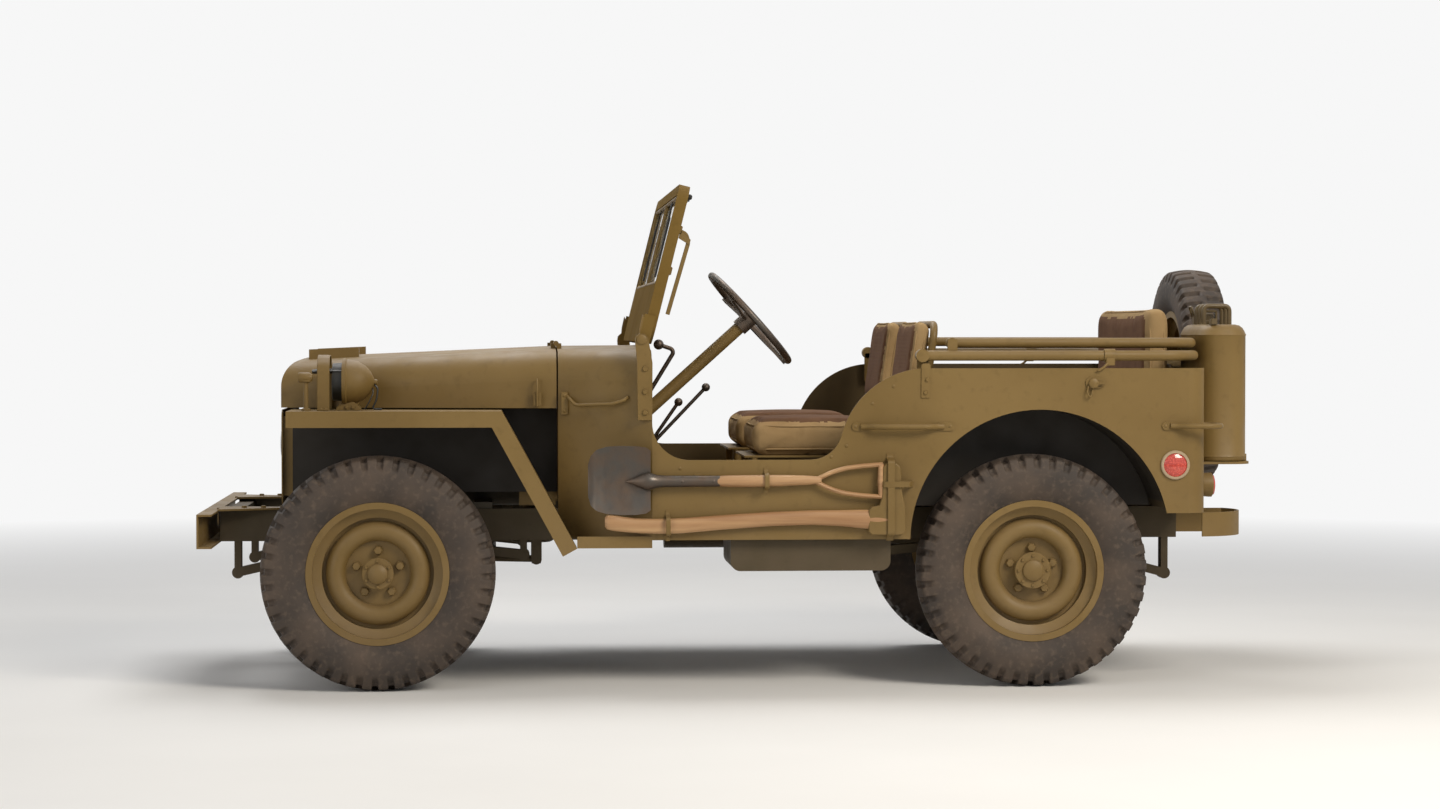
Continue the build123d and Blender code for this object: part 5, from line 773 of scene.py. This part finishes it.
def soft_block(size, corner):
    """A rounded block about the origin: the six grids of a cube, with every point pulled to within
    a corner's radius of the smaller block inside."""
    lengths = np.asarray(size, float) / 2
    steps = 22
    u = np.linspace(-1, 1, steps)
    grid = np.stack(np.meshgrid(u, u, indexing="ij"), axis=-1).reshape(-1, 2)
    sheets = [np.insert(grid, axis, way, axis=1) for axis in range(3) for way in (-1.0, 1.0)]
    faces = [face for k in range(6) for face in quads(steps, steps, start=k * steps * steps)]
    cube = np.concatenate(sheets) * lengths
    inner = np.clip(cube, corner - lengths, lengths - corner)
    outward = cube - inner
    reach = np.linalg.norm(outward, axis=1, keepdims=True)
    return inner + outward / np.maximum(reach, 1e-9) * np.minimum(reach, corner), faces


def turn_y(degrees):
    """The matrix that leans a piece to the rear by some degrees."""
    c, s = math.cos(math.radians(degrees)), math.sin(math.radians(degrees))
    return np.array([[c, 0.0, s], [0.0, 1.0, 0.0], [-s, 0.0, c]])


def pad(name, centre, size, lean, body, cap, corner=26.0, crown=0.0):
    """One stuffed pad, from a slightly smaller rounded block, in millimetres. The crown is a rise
    of the top that falls off to the edges as (1 - u^2)(1 - v^2)."""
    start = np.asarray(size, float) - 2 * PAD_INSET
    points, faces = soft_block(start, corner)
    fall = np.clip(1 - (2 * points[:, :2] / start[:2]) ** 2, 0, 1)
    points[:, 2] += np.where(points[:, 2] > 0, crown * fall[:, 0] * fall[:, 1], 0.0)
    points = points @ turn_y(lean).T + np.asarray(centre)
    piece = wear(name, points / 1000.0, faces, tan_canvas, body)
    turn_outwards(piece)
    stuff(piece, cap)
    piece.data.polygons.foreach_set("use_smooth", [True] * len(piece.data.polygons))
    return piece


def piping(pads_piece, loop, body, name):
    """A piped seam: a loop of points moved onto the pad's nearest surface, then a round cord."""
    path = []
    for point in loop / 1000.0:
        _, place, normal, _ = pads_piece.closest_point_on_mesh(point.tolist())
        path.append(np.array(place) + 0.0008 * np.array(normal))
    path = np.array(path) * 1000.0
    for _ in range(3):
        path = (np.roll(path, 1, axis=0) + 2 * path + np.roll(path, -1, axis=0)) / 4
    cord = swept(path, ring_section(6.4, count=8), closed=True)
    return fit(name, [cord], tan_canvas, body, 60.0)


def rectangle_loop(half_a, half_b, level, corner, count=14):
    """A rounded rectangle of evenly spaced points (a, b, level)."""
    points = []
    for ka, kb, start in ((1, 1, 0), (-1, 1, 90), (-1, -1, 180), (1, -1, 270)):
        angle = np.radians(np.linspace(start, start + 90, 7))
        a = ka * (half_a - corner) + corner * np.cos(angle)
        b = kb * (half_b - corner) + corner * np.sin(angle)
        points.append(np.stack([a, b], axis=1))
    points = np.concatenate(points)
    closed = np.concatenate([points, points[:1]])
    length = np.concatenate([[0.0], np.cumsum(np.linalg.norm(np.diff(closed, axis=0), axis=1))])
    steps = np.linspace(0.0, length[-1], 4 * count + 1)[:-1]
    a, b = np.interp(steps, length, closed[:, 0]), np.interp(steps, length, closed[:, 1])
    return np.stack([a, b, np.full(len(a), float(level))], axis=1)


print("pad inset:", PAD_INSET, "mm; voxel:", VOXEL)

# %% [markdown]
# The cushions' faces are brown canvas and their sides tan, joined under the piping.
# Where a pad rests on its board or tubes, it stays flat.


# %% Seats and bench
def two_tone(piece, toward, face, seam):
    """Gives a second cloth to the faces that lie beyond the seam: centre . toward > seam, in mm."""
    piece.data.materials.append(face)
    middles = np.empty(3 * len(piece.data.polygons))
    piece.data.polygons.foreach_get("center", middles)
    facing = middles.reshape(-1, 3) @ np.asarray(toward) > seam / 1000.0
    piece.data.polygons.foreach_set("material_index", facing.astype(int).tolist())


def press_flat(piece, normal, level):
    """Moves every point that lies beyond a flat support back onto it: p . normal <= level."""
    points = points_of(piece)
    over = np.maximum(points @ np.asarray(normal) - level / 1000.0, 0.0)
    move_points(piece, points - over[:, None] * np.asarray(normal))


def seat_cushion(name, centre, size, body, cap):
    """A cushion on its board: flat below, brown above, piped round both faces."""
    piece = pad(name, centre, size, 0.0, body, cap, corner=30.0, crown=8.0)
    press_flat(piece, (0.0, 0.0, -1.0), -(centre[2] - size[2] / 2))
    two_tone(piece, (0.0, 0.0, 1.0), brown_canvas, centre[2] + size[2] / 2 - 4.0)
    for tag, level in (("upper", size[2] / 2 - 4.0), ("lower", 6.0 - size[2] / 2)):
        loop = rectangle_loop(size[0] / 2 - 3, size[1] / 2 - 3, level, 34.0) + centre
        piping(piece, loop, body, f"{name}_piping_{tag}")
    return piece


def seat_back(name, centre, size, lean, body, cap):
    """A back pad on its hoop: flat behind, brown in front, piped round both faces."""
    piece = pad(name, centre, size, lean, body, cap, corner=26.0)
    turn = turn_y(lean)
    rear = turn @ np.array([1.0, 0.0, 0.0])
    press_flat(piece, rear, float(np.dot(rear, centre)) + size[0] / 2)
    two_tone(piece, -rear, brown_canvas, size[0] / 2 - 4.0 - float(np.dot(rear, centre)))
    for tag, level in (("front", 4.0 - size[0] / 2), ("rear", size[0] / 2 - 5.0)):
        loop = rectangle_loop(size[1] / 2 - 3, size[2] / 2 - 3, level, 46.0)[:, [2, 0, 1]]
        piping(piece, loop @ turn.T + centre, body, f"{name}_piping_{tag}")
    return piece


SEAT_ACROSS = 348.0
BACK_LEAN = 8.0
for who, side, body in (("driver", -1, "chassis"), ("passenger", 1, "passenger_seat")):
    y = side * SEAT_ACROSS
    cushion = seat_cushion(f"{who}_cushion", (231.0, y, 772.3), (418.0, 425.0, 108.0), body, 12.0)
    back = seat_back(f"{who}_back", (553.0, y, 1003.8), (52.0, 425.0, 290.0), BACK_LEAN, body, 9.0)
    for piece in (cushion, back):
        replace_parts(piece, f"{who}_seat_pads")
bench = [
    seat_cushion("bench_cushion", (1116.0, 0.0, 740.3), (372.0, 850.0, 100.0), "chassis", 12.0),
    seat_back("bench_back", (1345.0, 0.0, 1016.0), (78.0, 850.0, 352.0), 0.0, "chassis", 10.0),
]
for piece in bench:
    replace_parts(piece, "bench_pads")
print("pads: 6, faces in the driver's cushion:", len(cushion.data.polygons))

# %% [markdown]
# ## Tools on the side
#
# The shovel's blade is one dished sheet whose rim is rolled at the point; its neck
# runs into a socket, and the handle splits into a fork that holds a cross grip. The
# axe's handle is a long S with a flared butt. Each is a section carried along a
# path, with sizes read off the picture at a few stations.

# %% Shovel and axe
TOOL_DEPTH = -757.0  # the middle of the tools, from the car's middle
SHOVEL_Z = 648.0
BLADE_ROWS, BLADE_COLUMNS = 30, 25


def dished_blade():
    """The blade as a grid: across its width w(s) it hollows towards the body as 1 - v^2."""
    station = np.array([-488.0, -480.0, -462.0, -430.0, -390.0, -340.0, -310.0, -296.0])
    top = np.array([700.0, 726.0, 745.0, 755.0, 757.0, 756.0, 752.0, 742.0])
    foot = np.array([604.0, 575.0, 558.0, 549.0, 546.0, 546.0, 550.0, 560.0])
    x = np.interp(np.linspace(0, 1, BLADE_ROWS), np.linspace(0, 1, 8), station)[:, None]
    high, low = np.interp(x, station, top), np.interp(x, station, foot)
    v = np.linspace(-1, 1, BLADE_COLUMNS)
    z = (high + low) / 2 + (high - low) / 2 * v
    roll = 9.0 * np.clip((-470.0 - x) / 18.0, 0.0, 1.0)
    y = TOOL_DEPTH - 8.0 + 13.0 * (1 - v**2) * np.clip((x + 500.0) / 60.0, 0.25, 1.0) - roll
    outer = np.stack([np.repeat(x, BLADE_COLUMNS, axis=1), y, z], axis=2)
    points = np.concatenate([outer.reshape(-1, 3), (outer + (0.0, 2.4, 0.0)).reshape(-1, 3)])
    sheet = BLADE_ROWS * BLADE_COLUMNS
    faces = quads(BLADE_ROWS, BLADE_COLUMNS) + quads(BLADE_ROWS, BLADE_COLUMNS, start=sheet)
    number = np.arange(sheet).reshape(BLADE_ROWS, BLADE_COLUMNS)
    sides = (number[:, 0], number[-1, 1:], number[-2::-1, -1], number[0, -2:0:-1])
    rim = np.concatenate(sides).tolist()
    faces += [[a, b, b + sheet, a + sheet] for a, b in zip(rim, rim[1:] + rim[:1])]
    return points, faces


socket_line = np.array([
    # x, share of the full thickness
    (-372, 0.1), (-350, 0.6), (-325, 1.25), (-304, 1.6), (-290, 1.35), (-276, 1.08), (-255, 1.0),
    (-180, 0.97), (-84, 0.94),
])
socket_path = [(x, TOOL_DEPTH - 1.0, SHOVEL_Z) for x in socket_line[:, 0]]
steel_parts = [
    dished_blade(),
    swept(socket_path, ring_section(34.0, 36.0, 20), socket_line[:, 1]),
    *rivets([(-104.0, TOOL_DEPTH - 17.0, SHOVEL_Z), (-200.0, TOOL_DEPTH - 17.5, SHOVEL_Z)], LEFT),
]
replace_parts(fit("shovel_steel", steel_parts, dark_steel), "tool_heads")
axe_head = [
    (374, 490), (374, 558), (384, 568), (408, 572), (416, 600), (419, 690), (428, 702), (460, 702),
    (472, 690), (478, 610), (487, 566), (489, 492), (479, 481), (384, 481),
]
axe_parts = [slab(axe_head, TOOL_DEPTH - 13.0, TOOL_DEPTH + 13.0)]
head = fit("axe_head", axe_parts, body_paint)
eased = head.modifiers.new("eased", "BEVEL")
eased.width = 0.004
eased.segments = 3
settle(head)
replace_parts(head, "tool_heads")

shaft = [(-92, 648), (-60, 648), (0, 648), (90, 649), (170, 650), (210, 650), (228, 650)]
shaft_path = [(x, TOOL_DEPTH, z) for x, z in shaft]
wood_parts = [swept(shaft_path, ring_section(38.0, 36.0, 18), [0.9, 1.0, 1.04, 1.0, 0.86, 0.7, 0.6])]
prong = [(206, 0), (232, 13), (262, 27), (300, 38), (350, 45), (418, 50)]
for way in (1, -1):
    wood_parts.append(strap([(x, TOOL_DEPTH, SHOVEL_Z + way * z) for x, z in prong], 14.0, 14.0, 18.0))
grip = [(414, TOOL_DEPTH, SHOVEL_Z + z) for z in (-52, 0, 52)]
wood_parts.append(swept(grip, ring_section(20.0), [0.9, 1.15, 0.9]))

axe_line = np.array([
    # x, height of the handle's middle, half its height
    (-436, 524, 15), (-428, 524, 23), (-410, 522, 25), (-385, 517, 23.5), (-340, 512, 22.5),
    (-275, 510, 23), (-210, 511, 23.5), (-80, 521, 22.5), (70, 531, 22), (200, 535, 22.5),
    (290, 533, 25), (350, 530, 29), (400, 528, 30), (446, 528, 29),
])
path = rounded_path([(x, TOOL_DEPTH + 2.0, z) for x, z, _ in axe_line], 18.0, 4)
size = np.interp(path[:, 0], axe_line[:, 0], axe_line[:, 2]) / 25.0
wood_parts.append(swept(path, ring_section(26.0, 50.0, 20), size))
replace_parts(fit("tool_wood", wood_parts, ash_wood, sharp=50.0), "tool_handles")
print("axe handle stations:", len(path))

# %% [markdown]
# ## Handles, straps and rivets on the body
#
# Grab handles are bent bars whose ends are flattened and riveted on. The tools
# hang in thin straps, the windscreen turns on two bolted hinge straps, and a wing
# latch waits for the hood bows. Each one is a bar or an outline given its gauge.

# %% Handles, straps, latches and rivets
SKIN = 735.0  # the body's side, from the middle
HANDLE_Z = 813.5


def capsule(first, last, level, radius):
    """The outline of a flat plate with round ends between two stations."""
    angle = np.radians(np.linspace(-90.0, 90.0, 9))
    head = np.stack([last - radius + radius * np.cos(angle), level + radius * np.sin(angle)], axis=1)
    tail = np.stack([first + radius - radius * np.cos(angle), level - radius * np.sin(angle)], axis=1)
    return np.concatenate([head, tail])


def grab_handle(path, plates, places):
    """A round bar on its end plates, with a rivet through each plate."""
    parts = [rod([(x, y, HANDLE_Z) for x, y in path], 20.0, 18.0)]
    parts += [slab(capsule(*ends, HANDLE_Z, 13.0), -SKIN - 4.5, -SKIN - 0.4) for ends in plates]
    return parts + rivets([(x, -SKIN - 4.5, HANDLE_Z) for x in places], LEFT, 6.0, 3.0)


side_bar = [(352, -741), (374, -743), (402, -766), (558, -766), (588, -743), (610, -741)]
corner_bar = [
    (1318, -741), (1342, -743), (1372, -765), (1440, -773), (1476, -752), (1478, -640), (1462, -627),
    (1438, -626),
]
handles = grab_handle(side_bar, [(325, 371), (590, 645)], [337, 604, 630])
handles += grab_handle(corner_bar, [(1292, 1346)], [1303, 1332])
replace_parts(fit("grab_bars", on_sides(handles), body_paint), "grab_handles")


def tool_strap(x, top, foot, out, width=14.0):
    """A thin steel strap that goes from the body round the outside of a tool and back."""
    near = -SKIN - 1
    path = [(near, top + 14), (near, top), (-out, top - 6), (-out, foot + 6), (near, foot), (near, foot - 14)]
    return strap([(x, y, z) for y, z in path], 9.0, width, 2.6, 4)


hinge_strap = [
    (-334, 835), (-290, 835), (-289, 1010), (-302, 1086), (-312, 1099), (-328, 1101), (-340, 1090),
    (-342, 1074), (-336, 1010),
]
bow_strap = [(540, 902), (566, 902), (569, 1004), (563, 1008), (547, 1008), (541, 1004)]
straps = on_sides([
    slab(hinge_strap, -SKIN - 3.0, -714.0),
    turned([(0, 0), (0, 15), (5, 15), (8, 9), (8, 0)], (-322, -SKIN - 3, 1082), LEFT),
    *bolt_heads([(-312, -SKIN - 3, z) for z in (858, 922, 992)], LEFT, 9.0, 6.0),
    slab(bow_strap, -SKIN - 4.0, -SKIN - 0.4),
    *bolt_heads([(559, -SKIN - 4, 958), (553, -SKIN - 4, 918)], LEFT, 7.0, 5.0),
    block((549, -700.7, 981), (36, 8, 102)),
    turned([(-4, 0), (-4, 20), (4, 20), (4, 0)], (545, -700.7, 1032), RIGHT),
    block((565, -716, 948), (30, 26, 36)),
])
fork_strap = [(398, -SKIN - 1), (410, -SKIN - 1), (420, -777), (500, -777), (514, -SKIN - 1)]
straps += [
    tool_strap(-243, 543, 478, 782), tool_strap(60, 674, 622, 782), tool_strap(443, 716, 476, 776, 22.0),
    strap([(x, y, 637) for x, y in fork_strap], 9.0, 18.0, 2.6, 4),
]
rests = [(-150, 648, 24, 44), (-90, 521, 30, 34), (300, 533, 24, 34)]
straps += [block((x, -744, z), (long, 16, high)) for x, z, long, high in rests]
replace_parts(fit("body_straps", straps, body_paint), "body_brackets")

wing_latch = [
    slab(capsule(1052, 1112, 948, 17), -SKIN - 5.0, -SKIN - 0.4),
    turned([(0, 0), (0, 15), (10, 15), (13, 10), (13, 0)], (1076, -SKIN - 5, 946), LEFT),
    block((1096, -SKIN - 11, 946), (34, 12, 12), 4.0),
    rod([(1060, -743, 938), (1054, -749, 915), (1066, -749, 902), (1074, -743, 926)], 8.0, 5.0),
]
dots = [(454, 937), (389, 884), (309, 754), (262, 720), (-204, 686)]
wing_latch += rivets([(x, -SKIN, z) for x, z in dots], LEFT, 6.0, 3.0)
fit("wing_latches", on_sides(wing_latch), body_paint)
bow_hook = [
    turned([(0, 0), (0, 21), (34, 21), (34, 0)], (1112, -721, 1032), REAR),
    block((1129, -739, 1014), (28, 8, 26)),
    rod([(1120, -742, 1008), (1106, -745, 994), (1090, -744, 986)], 8.0, 8.0),
]
fit("bow_hooks", on_sides(bow_hook), body_paint, "bow_lower")


def cowl(x, z, out):
    """A point that stands out from the scuttle's side, which widens towards the rear."""
    return (x, -(570.0 + (x + 575.0) / 285.0 * 165.0) - out, z)


bar = [(-548, 905, 4), (-540, 897, 22), (-522, 878, 26), (-408, 884, 26), (-374, 896, 22), (-364, 905, 4)]
catch = [rod([cowl(*point) for point in bar], 10.0, 11.0), block(cowl(-556, 884, 8), (22, 16, 70))]
catch += rivets([cowl(-556, 908, 16), cowl(-556, 860, 16)], LEFT, 6.0, 4.0)
fit("scuttle_bars", on_sides(catch), body_paint)
print("straps and handles done")

# %% [markdown]
# ## Wheel nuts and hubs
#
# Each disc is held by five nuts. The front hubs carry a driving flange with six
# bolts and a domed cap, the rear ones an axle flange with eight. They turn with
# their wheels, so each piece rides its wheel's body.

# %% Nuts, flanges and caps on the hubs
AXLE_Z = 362.0
DISC_FACE = 622.5  # the wheel disc's outer face, from the middle
FRONT_CAP = [(34, 0), (34, 49), (47, 49), (49, 47), (49, 32), (60, 30), (67, 20), (70, 8), (70, 0)]
REAR_CAP = [(34, 0), (34, 57), (44, 57), (46, 55), (46, 34), (54, 32), (58, 26), (59, 0)]


def around(centre, radius, count, out, start=90.0):
    """Places spread evenly round a wheel's axis, at a distance out along it."""
    angles = np.radians(start + 360.0 / count * np.arange(count))
    x, y, z = centre
    return [(x + radius * math.cos(a), y + out, z + radius * math.sin(a)) for a in angles]


def hub_trim(x, side, front):
    """The nuts, the flange with its bolts, and the cap of one wheel; side is -1 on the left."""
    centre, axis = (x, side * DISC_FACE, AXLE_Z), (0, side, 0)
    cap, radius, count, out = (FRONT_CAP, 40.0, 6, 49.0) if front else (REAR_CAP, 46.0, 8, 46.0)
    parts = bolt_heads(around(centre, 70.0, 5, 0.0), axis, 14.5, 19.0)
    parts.append(turned(cap, centre, axis))
    parts += bolt_heads(around(centre, radius, count, side * out), axis, 5.5, 5.0)
    return parts + rivets(around(centre, 181.0, 8, side * 8.0, 22.0), axis, 6.0, 3.0)


for end, x in (("front", -1131.0), ("rear", 901.0)):
    for hand, side in (("left", -1), ("right", 1)):
        body = f"wheel_{end}_{hand}"
        fit(f"{body}_hub", hub_trim(x, side, end == "front"), body_paint, body)
print("hubs: 4")

# %% [markdown]
# ## Lamps
#
# The two big lamps sit behind the grille. On the left fender stands a hooded
# driving lamp behind a strap guard, and on each fender a small marker. At the tail,
# the lenses look out of painted housings, and each side has a red reflector in a
# pale ring.

# %% Front lamps, tail lamps and reflectors
BLACK = ((0.020, 0.020, 0.018), (0.032, 0.030, 0.026), (0.08, 0.065, 0.05))
PALE_TAN = ((0.36, 0.27, 0.17), (0.42, 0.33, 0.22), (0.30, 0.22, 0.14))
black_paint = paint_wear_and_shade("black_paint", *BLACK, 0.4)
lamp_glass = lens("lamp_glass", (0.30, 0.31, 0.30), (0.62, 0.63, 0.60))
rim_paint = paint_wear_and_shade("rim_paint", *PALE_TAN, 0.45)
FENDER = 863.0  # the front fender's top
LAMP = (-1239.0, -560.0, FENDER + 87.0)
MARKER_X, MARKER_Y = -1350, -640
bowl = [
    (0, 0), (0, 66), (-3, 72), (8, 74), (12, 70), (20, 70), (45, 64), (68, 51), (84, 33), (93, 15),
    (95, 9), (104, 8), (106, 0),
]
guard = [(-645, FENDER + 2), (-645, 960), (-638, 1000), (-600, 1031), (-560, 1032)]
guard += [(-1120 - y, z) for y, z in guard[-2::-1]]
foot = [(-1262, 1), (-1184, 1), (-1186, 9), (-1206, 26), (-1238, 28), (-1258, 10)]
lamp_parts = [
    turned(bowl, LAMP, REAR, 48),
    strap([(-1297, y, z) for y, z in guard], 16.0, 38.0, 5.0),
    block((-1297, -655, FENDER + 3), (38, 34, 5)), block((-1297, -465, FENDER + 3), (38, 34, 5)),
    *bolt_heads([(-1305, -660, FENDER + 5), (-1289, -660, FENDER + 5)], UP, 6.0, 4.0),
    slab([(x, FENDER + z) for x, z in foot], -590, -530),
    turned([(0, 0), (0, 13), (24, 11), (24, 0)], (-1205, -560, FENDER + 8), UP),
    *bolt_heads([(-1228, -592, FENDER + 10), (-1208, -592, FENDER + 10)], LEFT, 6.0, 4.0),
]
wire = [(-1146, -560, 945), (-1132, -580, 930), (-1136, -590, 895), (-1150, -590, 867), (-1120, -585, 866)]
small_wire = [(-1150, -560, 938), (-1146, -600, 915), (-1160, -604, 885), (-1172, -600, 866)]
visor = [(-1240, -560, 984), (-1262, -560, 984), (-1318, -560, 983), (-1334, -560, 982)]
dark_parts = [
    turned([(-34, 0), (-34, 52), (-32, 58), (0, 60), (0, 0)], LAMP, REAR, 40),
    swept(visor, ring_section(104.0, 17.0, 24), [1.0, 1.0, 0.94, 0.78]),
    rod(wire, 10.0, 6.0, 8),
    rod(small_wire, 10.0, 4.0, 8),
]
stalk = [(0, 0), (0, 15), (5, 15), (8, 8), (92, 6.5), (94, 0)]
pod = [(-24, 0), (-24, 13), (-20, 16), (10, 16), (20, 10), (23, 0)]
shell = [(-3, 0), (-3, 70), (0, 88), (8, 90), (10, 80), (64, 66), (66, 0)]
lamp_parts += on_sides([
    turned(stalk, (MARKER_X, MARKER_Y, FENDER + 0.5), UP, 20),
    turned(pod, (MARKER_X, MARKER_Y, FENDER + 102), REAR, 24),
    turned([(-2, 0), (-2, 18), (2, 18), (2, 0)], (MARKER_X, MARKER_Y, FENDER + 92), UP, 20),
    turned(shell, (-1434, -300, 752), REAR, 48),
])
glass = [turned([(0, 0), (0, 78), (4, 78), (9, 60), (13, 30), (14, 0)], (-1436, -300, 752), FRONT, 40)]
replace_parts(fit("lamp_shells", lamp_parts, body_paint, sharp=40.0), "front_lamps")
fit("lamp_hood", dark_parts, black_paint)
fit("lamp_lenses", on_sides(glass), lamp_glass)

reflector = (1333.8, -SKIN - 0.4, 692.5)
housing = [(0, 0), (0, 33), (3, 36), (26, 38), (34, 38), (36, 34), (36, 0)]
button = [(0, 0), (0, 37), (2, 37), (6, 30), (9, 15), (10, 0)]
tail = [
    turned(housing, (1436.6, -630, 626), REAR, 36),
    turned([(0, 0), (0, 38), (8, 38), (10, 33), (10, 0)], (1436.6, -530, 626), REAR, 36),
]
red = [
    turned([(0, 0), (0, 33), (5, 31), (8, 20), (9, 0)], (1472, -630, 626), REAR),
    turned([(0, 0), (0, 32), (4, 28), (6, 0)], (1446, -530, 626), REAR),
    turned(button, (1333.8, -SKIN - 3, 692.5), LEFT, 40),
]
ring = turned([(0, 0), (0, 45), (5, 45.5), (8, 43), (8, 37), (3, 36), (3, 0)], reflector, LEFT, 40)
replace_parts(fit("tail_shells", on_sides(tail), body_paint), "rear_lamps")
fit("reflector_rings", on_sides([ring]), rim_paint)
fit("red_lenses", on_sides(red), red_lens)
print("lamps done")

# %% [markdown]
# ## Windscreen trim
#
# The glass swings in thin inner frames, so bars run round each pane. A wiper hangs
# from the top on either side, and a swinging stay holds each pane open. All of it
# folds with the windscreen, so it rides that body.

# %% Bars, wipers and stays on the windscreen
SCREEN_PIVOT = np.array([-322.0, 0.0, 1082.0])
SCREEN_TURN = turn_y(14.0)  # its rake when it stands
SCREEN_BACK = SCREEN_TURN @ REAR


def on_screen(points):
    """Points of the windscreen's own frame, x behind its hinge and z up along it, set on the car."""
    return np.asarray(points, float) @ SCREEN_TURN.T + SCREEN_PIVOT


bars, wipers = [], []
corners = [(9, -14, 184), (9, -664, 184), (9, -664, 456), (9, -14, 456)]
for ends in zip(corners, corners[1:] + corners[:1]):
    bars.append(swept(on_screen(ends), strap_section(13.0, 11.0)))
for z in (226.0, 356.0):
    bars.append(block(on_screen((36, -690, z)), (10, 22, 26), turn=SCREEN_TURN))
stay = [(38, -694, 352), (56, -694, 348), (69, -694, 326), (60, -694, 94)]
bars.append(strap(on_screen(stay), 10.0, 13.0, 4.0))
arm_root = on_screen([(36, 0, 356), (74, 0, 334), (74, 0, 318), (36, 0, 330)])
bars.append(slab(arm_root[:, ::2], -699, -694))
leaf = [(-318, 1160), (-304, 1130), (-292, 1092), (-300, 1066), (-318, 1062), (-330, 1080), (-327, 1120)]
bars.append(slab(leaf, -711.8, -705.2))
wipers.append(block(on_screen((47, -340, 474)), (22, 46, 26), 5.0, SCREEN_TURN))
wipers.append(turned([(3, 0), (3, 7), (40, 7), (40, 0)], on_screen((0, -340, 462)), SCREEN_BACK))
arm = on_screen([(7, -340, 458), (7, -358, 420), (7, -397, 262)])
wipers.append(swept(rounded_path(arm, 12.0), strap_section(6.0, 3.0)))
wipers.append(swept(on_screen([(8, -397, 205), (8, -397, 400)]), strap_section(8.0, 7.0)))
knob = [(0, 0), (0, 8), (8, 9), (13, 5), (13, 0)]
for y in (-672, -360, -20):
    wipers.append(turned(knob, on_screen((35, y, 462)), SCREEN_BACK, 16))
fit("screen_bars", on_sides(bars), body_paint, "windscreen")
fit("screen_wipers", on_sides(wipers), black_paint, "windscreen")
print("windscreen trim done")

# %% [markdown]
# ## Can, bonnet and bumper details
#
# The can has a welded seam round its shoulder, a cap with a lever and three round
# handle bars. Long spring hooks pull the bonnet down on each side.

# %% Seams, cap, bonnet hooks and bumper bolts
CAN_MIDDLE = (1522.9, -420.0, 0.0)
CAP_X, CAP_Y = 1522.7, -310.0
levels = [
    # height, inset
    (697, 8), (699, 2), (704, 0), (708, 0), (712, -2), (716, 0), (1092, 0), (1096, -2), (1100, 0),
    (1110, 4), (1119, 10), (1126, 19), (1129, 32),
]
rings = [
    rectangle_loop(80.0 - inset, 172.5 - inset, level, 70.0 - 0.8 * inset, 20) + CAN_MIDDLE
    for level, inset in levels
]
ring_size, total = len(rings[0]), len(rings) * len(rings[0])
can_faces = quads(len(rings), ring_size, close_columns=True)
can_faces += [list(range(ring_size)), list(range(total - ring_size, total))]
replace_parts(fit("can_shell", [(np.concatenate(rings), can_faces)], body_paint), "fuel_can")

arch = [(1482, 1124), (1482, 1188), (1564, 1188), (1564, 1124)]
can_top = [rod([(x, y, z) for x, z in arch], 18.0, 15.0) for y in (-472.0, -420.0, -368.0)]
cap = [(0, 0), (0, 31), (12, 31), (16, 27), (34, 27), (38, 22), (40, 8), (40, 0)]
can_top += [
    turned(cap, (CAP_X, CAP_Y, 1128.0), UP),
    block((CAP_X, CAP_Y, 1172.0), (74, 18, 8)), block((1557.0, CAP_Y, 1152.0), (8, 18, 42)),
    block((1488.0, CAP_Y, 1146.0), (10, 30, 36)), block((1492.0, -560.0, 1138.0), (20, 30, 20)),
    rod([(1486, -326, 1150), (1474, -326, 1186), (1474, -294, 1186), (1486, -294, 1150)], 8.0, 7.0),
]
fit("can_top", can_top, paint_wear_and_shade("can_metal", (0.085, 0.060, 0.026), (0.130, 0.090, 0.040), ROAD_DUST, 0.4))

hooks = []
for x, reach in ((-1338.0, 415.0), (-640.0, 566.0)):
    bend = [(-reach - 16, 12), (-reach - 20, 60), (-reach - 10, 96), (-reach - 2, 92)]
    hooks.append(block((x, -reach - 8.0, FENDER + 34.0), (26, 12, 44)))
    hooks.append(rod([(x, y, FENDER + z) for y, z in bend], 10.0, 7.0))
fit("bonnet_hooks", on_sides(hooks), body_paint)
bolts = bolt_heads([(x, -371.0, 551.5) for x in (-1560.0, -1500.0, -1440.0)], UP, 9.0, 6.0)
bolts += bolt_heads([(-1681.0, y, 494.5) for y in (-395.0, -347.0)], FRONT, 9.0, -5.0)  # sunk in its face
fit("bumper_bolts", on_sides(bolts), body_paint)
